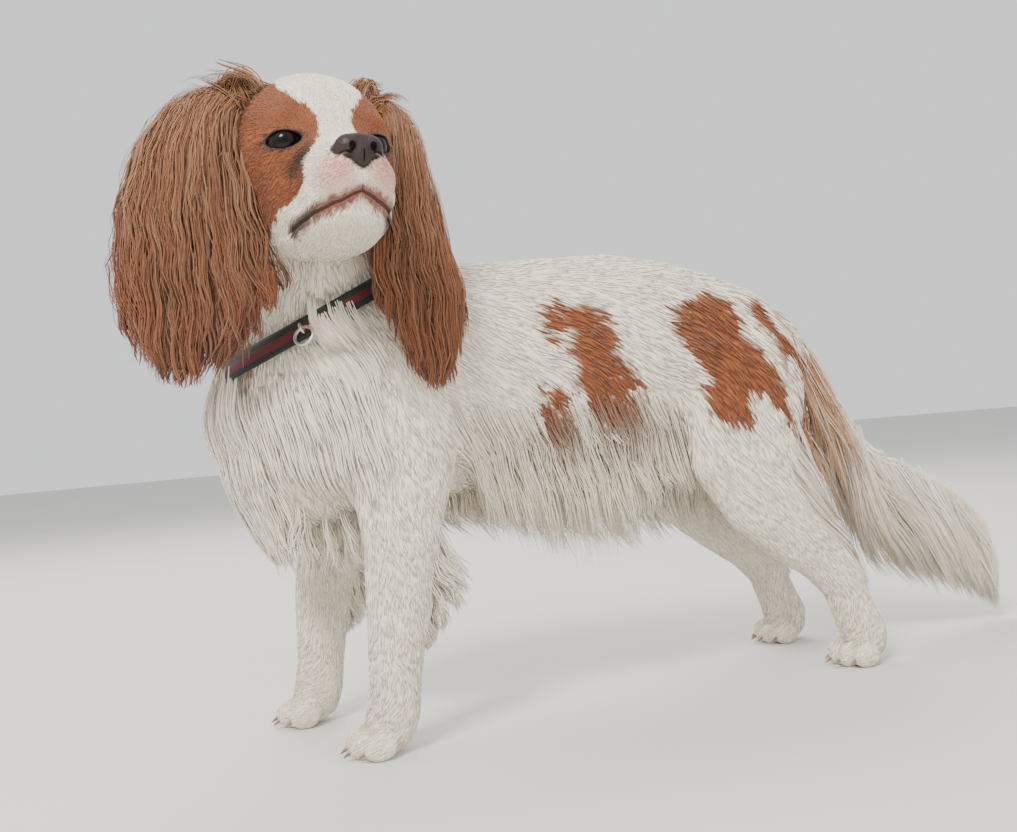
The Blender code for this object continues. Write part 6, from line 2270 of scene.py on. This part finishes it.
class SPANIEL_OT_plume(bpy.types.Operator):
    """Hangs the plume of the tail"""

    bl_idname = "spaniel.plume"
    bl_label = "Tail plume"

    def execute(self, context):
        dice = np.random.default_rng(9)
        guides = fin_guides(PLUME, 0.0, 0.0, 380, 0.33, dice)
        path, face, widths, colour = dressed(
            *guides, 12, 6.0 * MM, 0.95 * MM, (3.0 * MM, 0.075), dice, 7
        )
        sandy = 0.75 * np.clip((0.375 - path[:, 0, 1]) / 0.05, 0, 1) * dice.random(len(path))
        colour[:, 0] = blended(colour[:, 0], colours().pale_hair[:], sandy)
        colour[:, 1] = blended(colour[:, 1], colours().pale_hair[:], 0.6 * sandy)
        groups = [(path, face, widths, colour)]
        long_piece("coat_plume", groups, made["long_coat"], dice)
        return {"FINISHED"}


class SPANIEL_OT_ear_coat(bpy.types.Operator):
    """Hangs the long wavy coat of both ears"""

    bl_idname = "spaniel.ear_coat"
    bl_label = "Ear coat"

    def execute(self, context):
        dice = np.random.default_rng(13)
        material = coat_material("ear_coat", 0.50, 0.55, 0.2)
        for side, hand in ((1, "left"), (-1, "right")):
            guides, faces, downs = ear_guides(side, 300, dice)
            wave = (2.8 * MM, 0.038)
            for name, points, each, spread, width, thick in (
                ("coat_ear_under_", 12, 2, 6.0 * MM, 2.6 * MM, 0.20),
                ("coat_ear_", 9, 10, 7.5 * MM, 0.58 * MM, 0.45),
            ):
                path, face, widths, lock = strands(
                    resampled(guides, points), resampled(faces, points),
                    each, spread, width, wave, dice, 0.35,
                )
                colour = ear_colour(path[:, 0], downs[lock] + 0.2, dice)
                # The under layer lies 2 mm deeper and is darkened to 0.8: painted shade beneath the
                # strands over it.
                if points == 12:
                    path -= face * 2.0 * MM
                    colour = 0.8 * colour
                groups = [(path, face, widths, colour[:, None])]
                if points == 9:
                    rows, normals = (resampled(r, 9) for r in crown_guides(side, 110, dice))
                    path, face, widths, lock = strands(
                        rows, normals, 7, 3.2 * MM, 0.75 * MM, (1.4 * MM, 0.040), dice
                    )
                    colour = ear_colour(path[:, 0], 0 * widths, dice)
                    groups.append((path, face, widths, colour[:, None]))
                long_piece(name + hand, groups, material, dice, thick)
        return {"FINISHED"}


class SPANIEL_OT_stage(bpy.types.Operator):
    """Lays the plain floor and sets soft studio lights"""

    bl_idname = "spaniel.stage"
    bl_label = "Stage"

    def execute(self, context):
        bpy.ops.object.select_all(action="DESELECT")
        bpy.ops.mesh.primitive_circle_add(vertices=96, radius=14.0, fill_type="NGON")
        floor = context.object
        floor.name = "floor"
        material, tree, shader = new_material("floor", 0.85, Specular_IOR_Level=0.2)
        place = tree.nodes.new("ShaderNodeTexCoord")
        grain = node(tree, "ShaderNodeTexNoise", Scale=3.0, Detail=4.0)
        ramp = node(tree, "ShaderNodeValToRGB")
        ramp.color_ramp.elements[0].color = (0.60, 0.59, 0.57, 1)
        ramp.color_ramp.elements[1].color = (0.66, 0.65, 0.63, 1)
        tree.links.new(place.outputs["Object"], grain.inputs["Vector"])
        tree.links.new(grain.outputs[0], ramp.inputs[0])
        tree.links.new(ramp.outputs[0], shader.inputs["Base Color"])
        floor.data.materials.append(material)
        for place, power, size, colour, shines in (
            ((1.5, -1.7, 2.3), 118, 0.9, (1.0, 0.945, 0.87), True),
            ((2.2, 1.0, 1.3), 38, 2.2, (1.0, 0.98, 0.95), False),
            ((-1.6, 0.4, 2.0), 50, 1.6, (1.0, 0.98, 0.95), False),
            ((-1.3, -1.8, 1.2), 22, 1.6, (0.97, 0.98, 1.0), False),
        ):
            data = bpy.data.lights.new("softbox", "AREA")
            data.energy, data.size, data.color = power, size, colour
            lamp = bpy.data.objects.new("softbox", data)
            lamp.location = place
            lamp.visible_glossy = shines
            aim = Vector((0, 0, 0.22)) - Vector(place)
            lamp.rotation_euler = aim.to_track_quat("-Z", "Y").to_euler()
            context.scene.collection.objects.link(lamp)
        world = bpy.data.worlds.new("studio")
        world.use_nodes = True
        sky = world.node_tree.nodes["Background"].inputs
        sky["Color"].default_value = (0.88, 0.89, 0.90, 1)
        sky["Strength"].default_value = 1.15
        context.scene.world = world
        return {"FINISHED"}


OPERATORS = (
    SPANIEL_OT_camera, SPANIEL_OT_nose, SPANIEL_OT_skin, SPANIEL_OT_eyes,
    SPANIEL_OT_claws, SPANIEL_OT_collar, SPANIEL_OT_short_coat, SPANIEL_OT_long_coat,
    SPANIEL_OT_plume, SPANIEL_OT_ear_coat, SPANIEL_OT_stage,
)


class SPANIEL_PT_panel(bpy.types.Panel):
    """Lists the pieces of the spaniel"""

    bl_idname = "SPANIEL_PT_panel"
    bl_label = "Standing spaniel"
    bl_space_type = "VIEW_3D"
    bl_region_type = "UI"
    bl_category = "Spaniel"

    def draw(self, context):
        for owner in (context.scene.spaniel_sizes, context.scene.spaniel_colours):
            for name in owner.__annotations__:
                self.layout.prop(owner, name)
        for operator in OPERATORS:
            self.layout.operator(operator.bl_idname)


CLASSES = (SpanielSizes, SpanielColours, *OPERATORS, SPANIEL_PT_panel)


def register():
    for kind in CLASSES:
        bpy.utils.register_class(kind)
    bpy.types.Scene.spaniel_sizes = PointerProperty(type=SpanielSizes)
    bpy.types.Scene.spaniel_colours = PointerProperty(type=SpanielColours)


def unregister():
    del bpy.types.Scene.spaniel_colours
    del bpy.types.Scene.spaniel_sizes
    for kind in reversed(CLASSES):
        bpy.utils.unregister_class(kind)


def main():
    bpy.ops.object.select_all(action="DESELECT")
    register()
    made["fine_hairs"] = fine_hair_group()
    for operator in OPERATORS:
        group, name = operator.bl_idname.split(".")
        getattr(getattr(bpy.ops, group), name)()


if __name__ == "__main__":
    main()
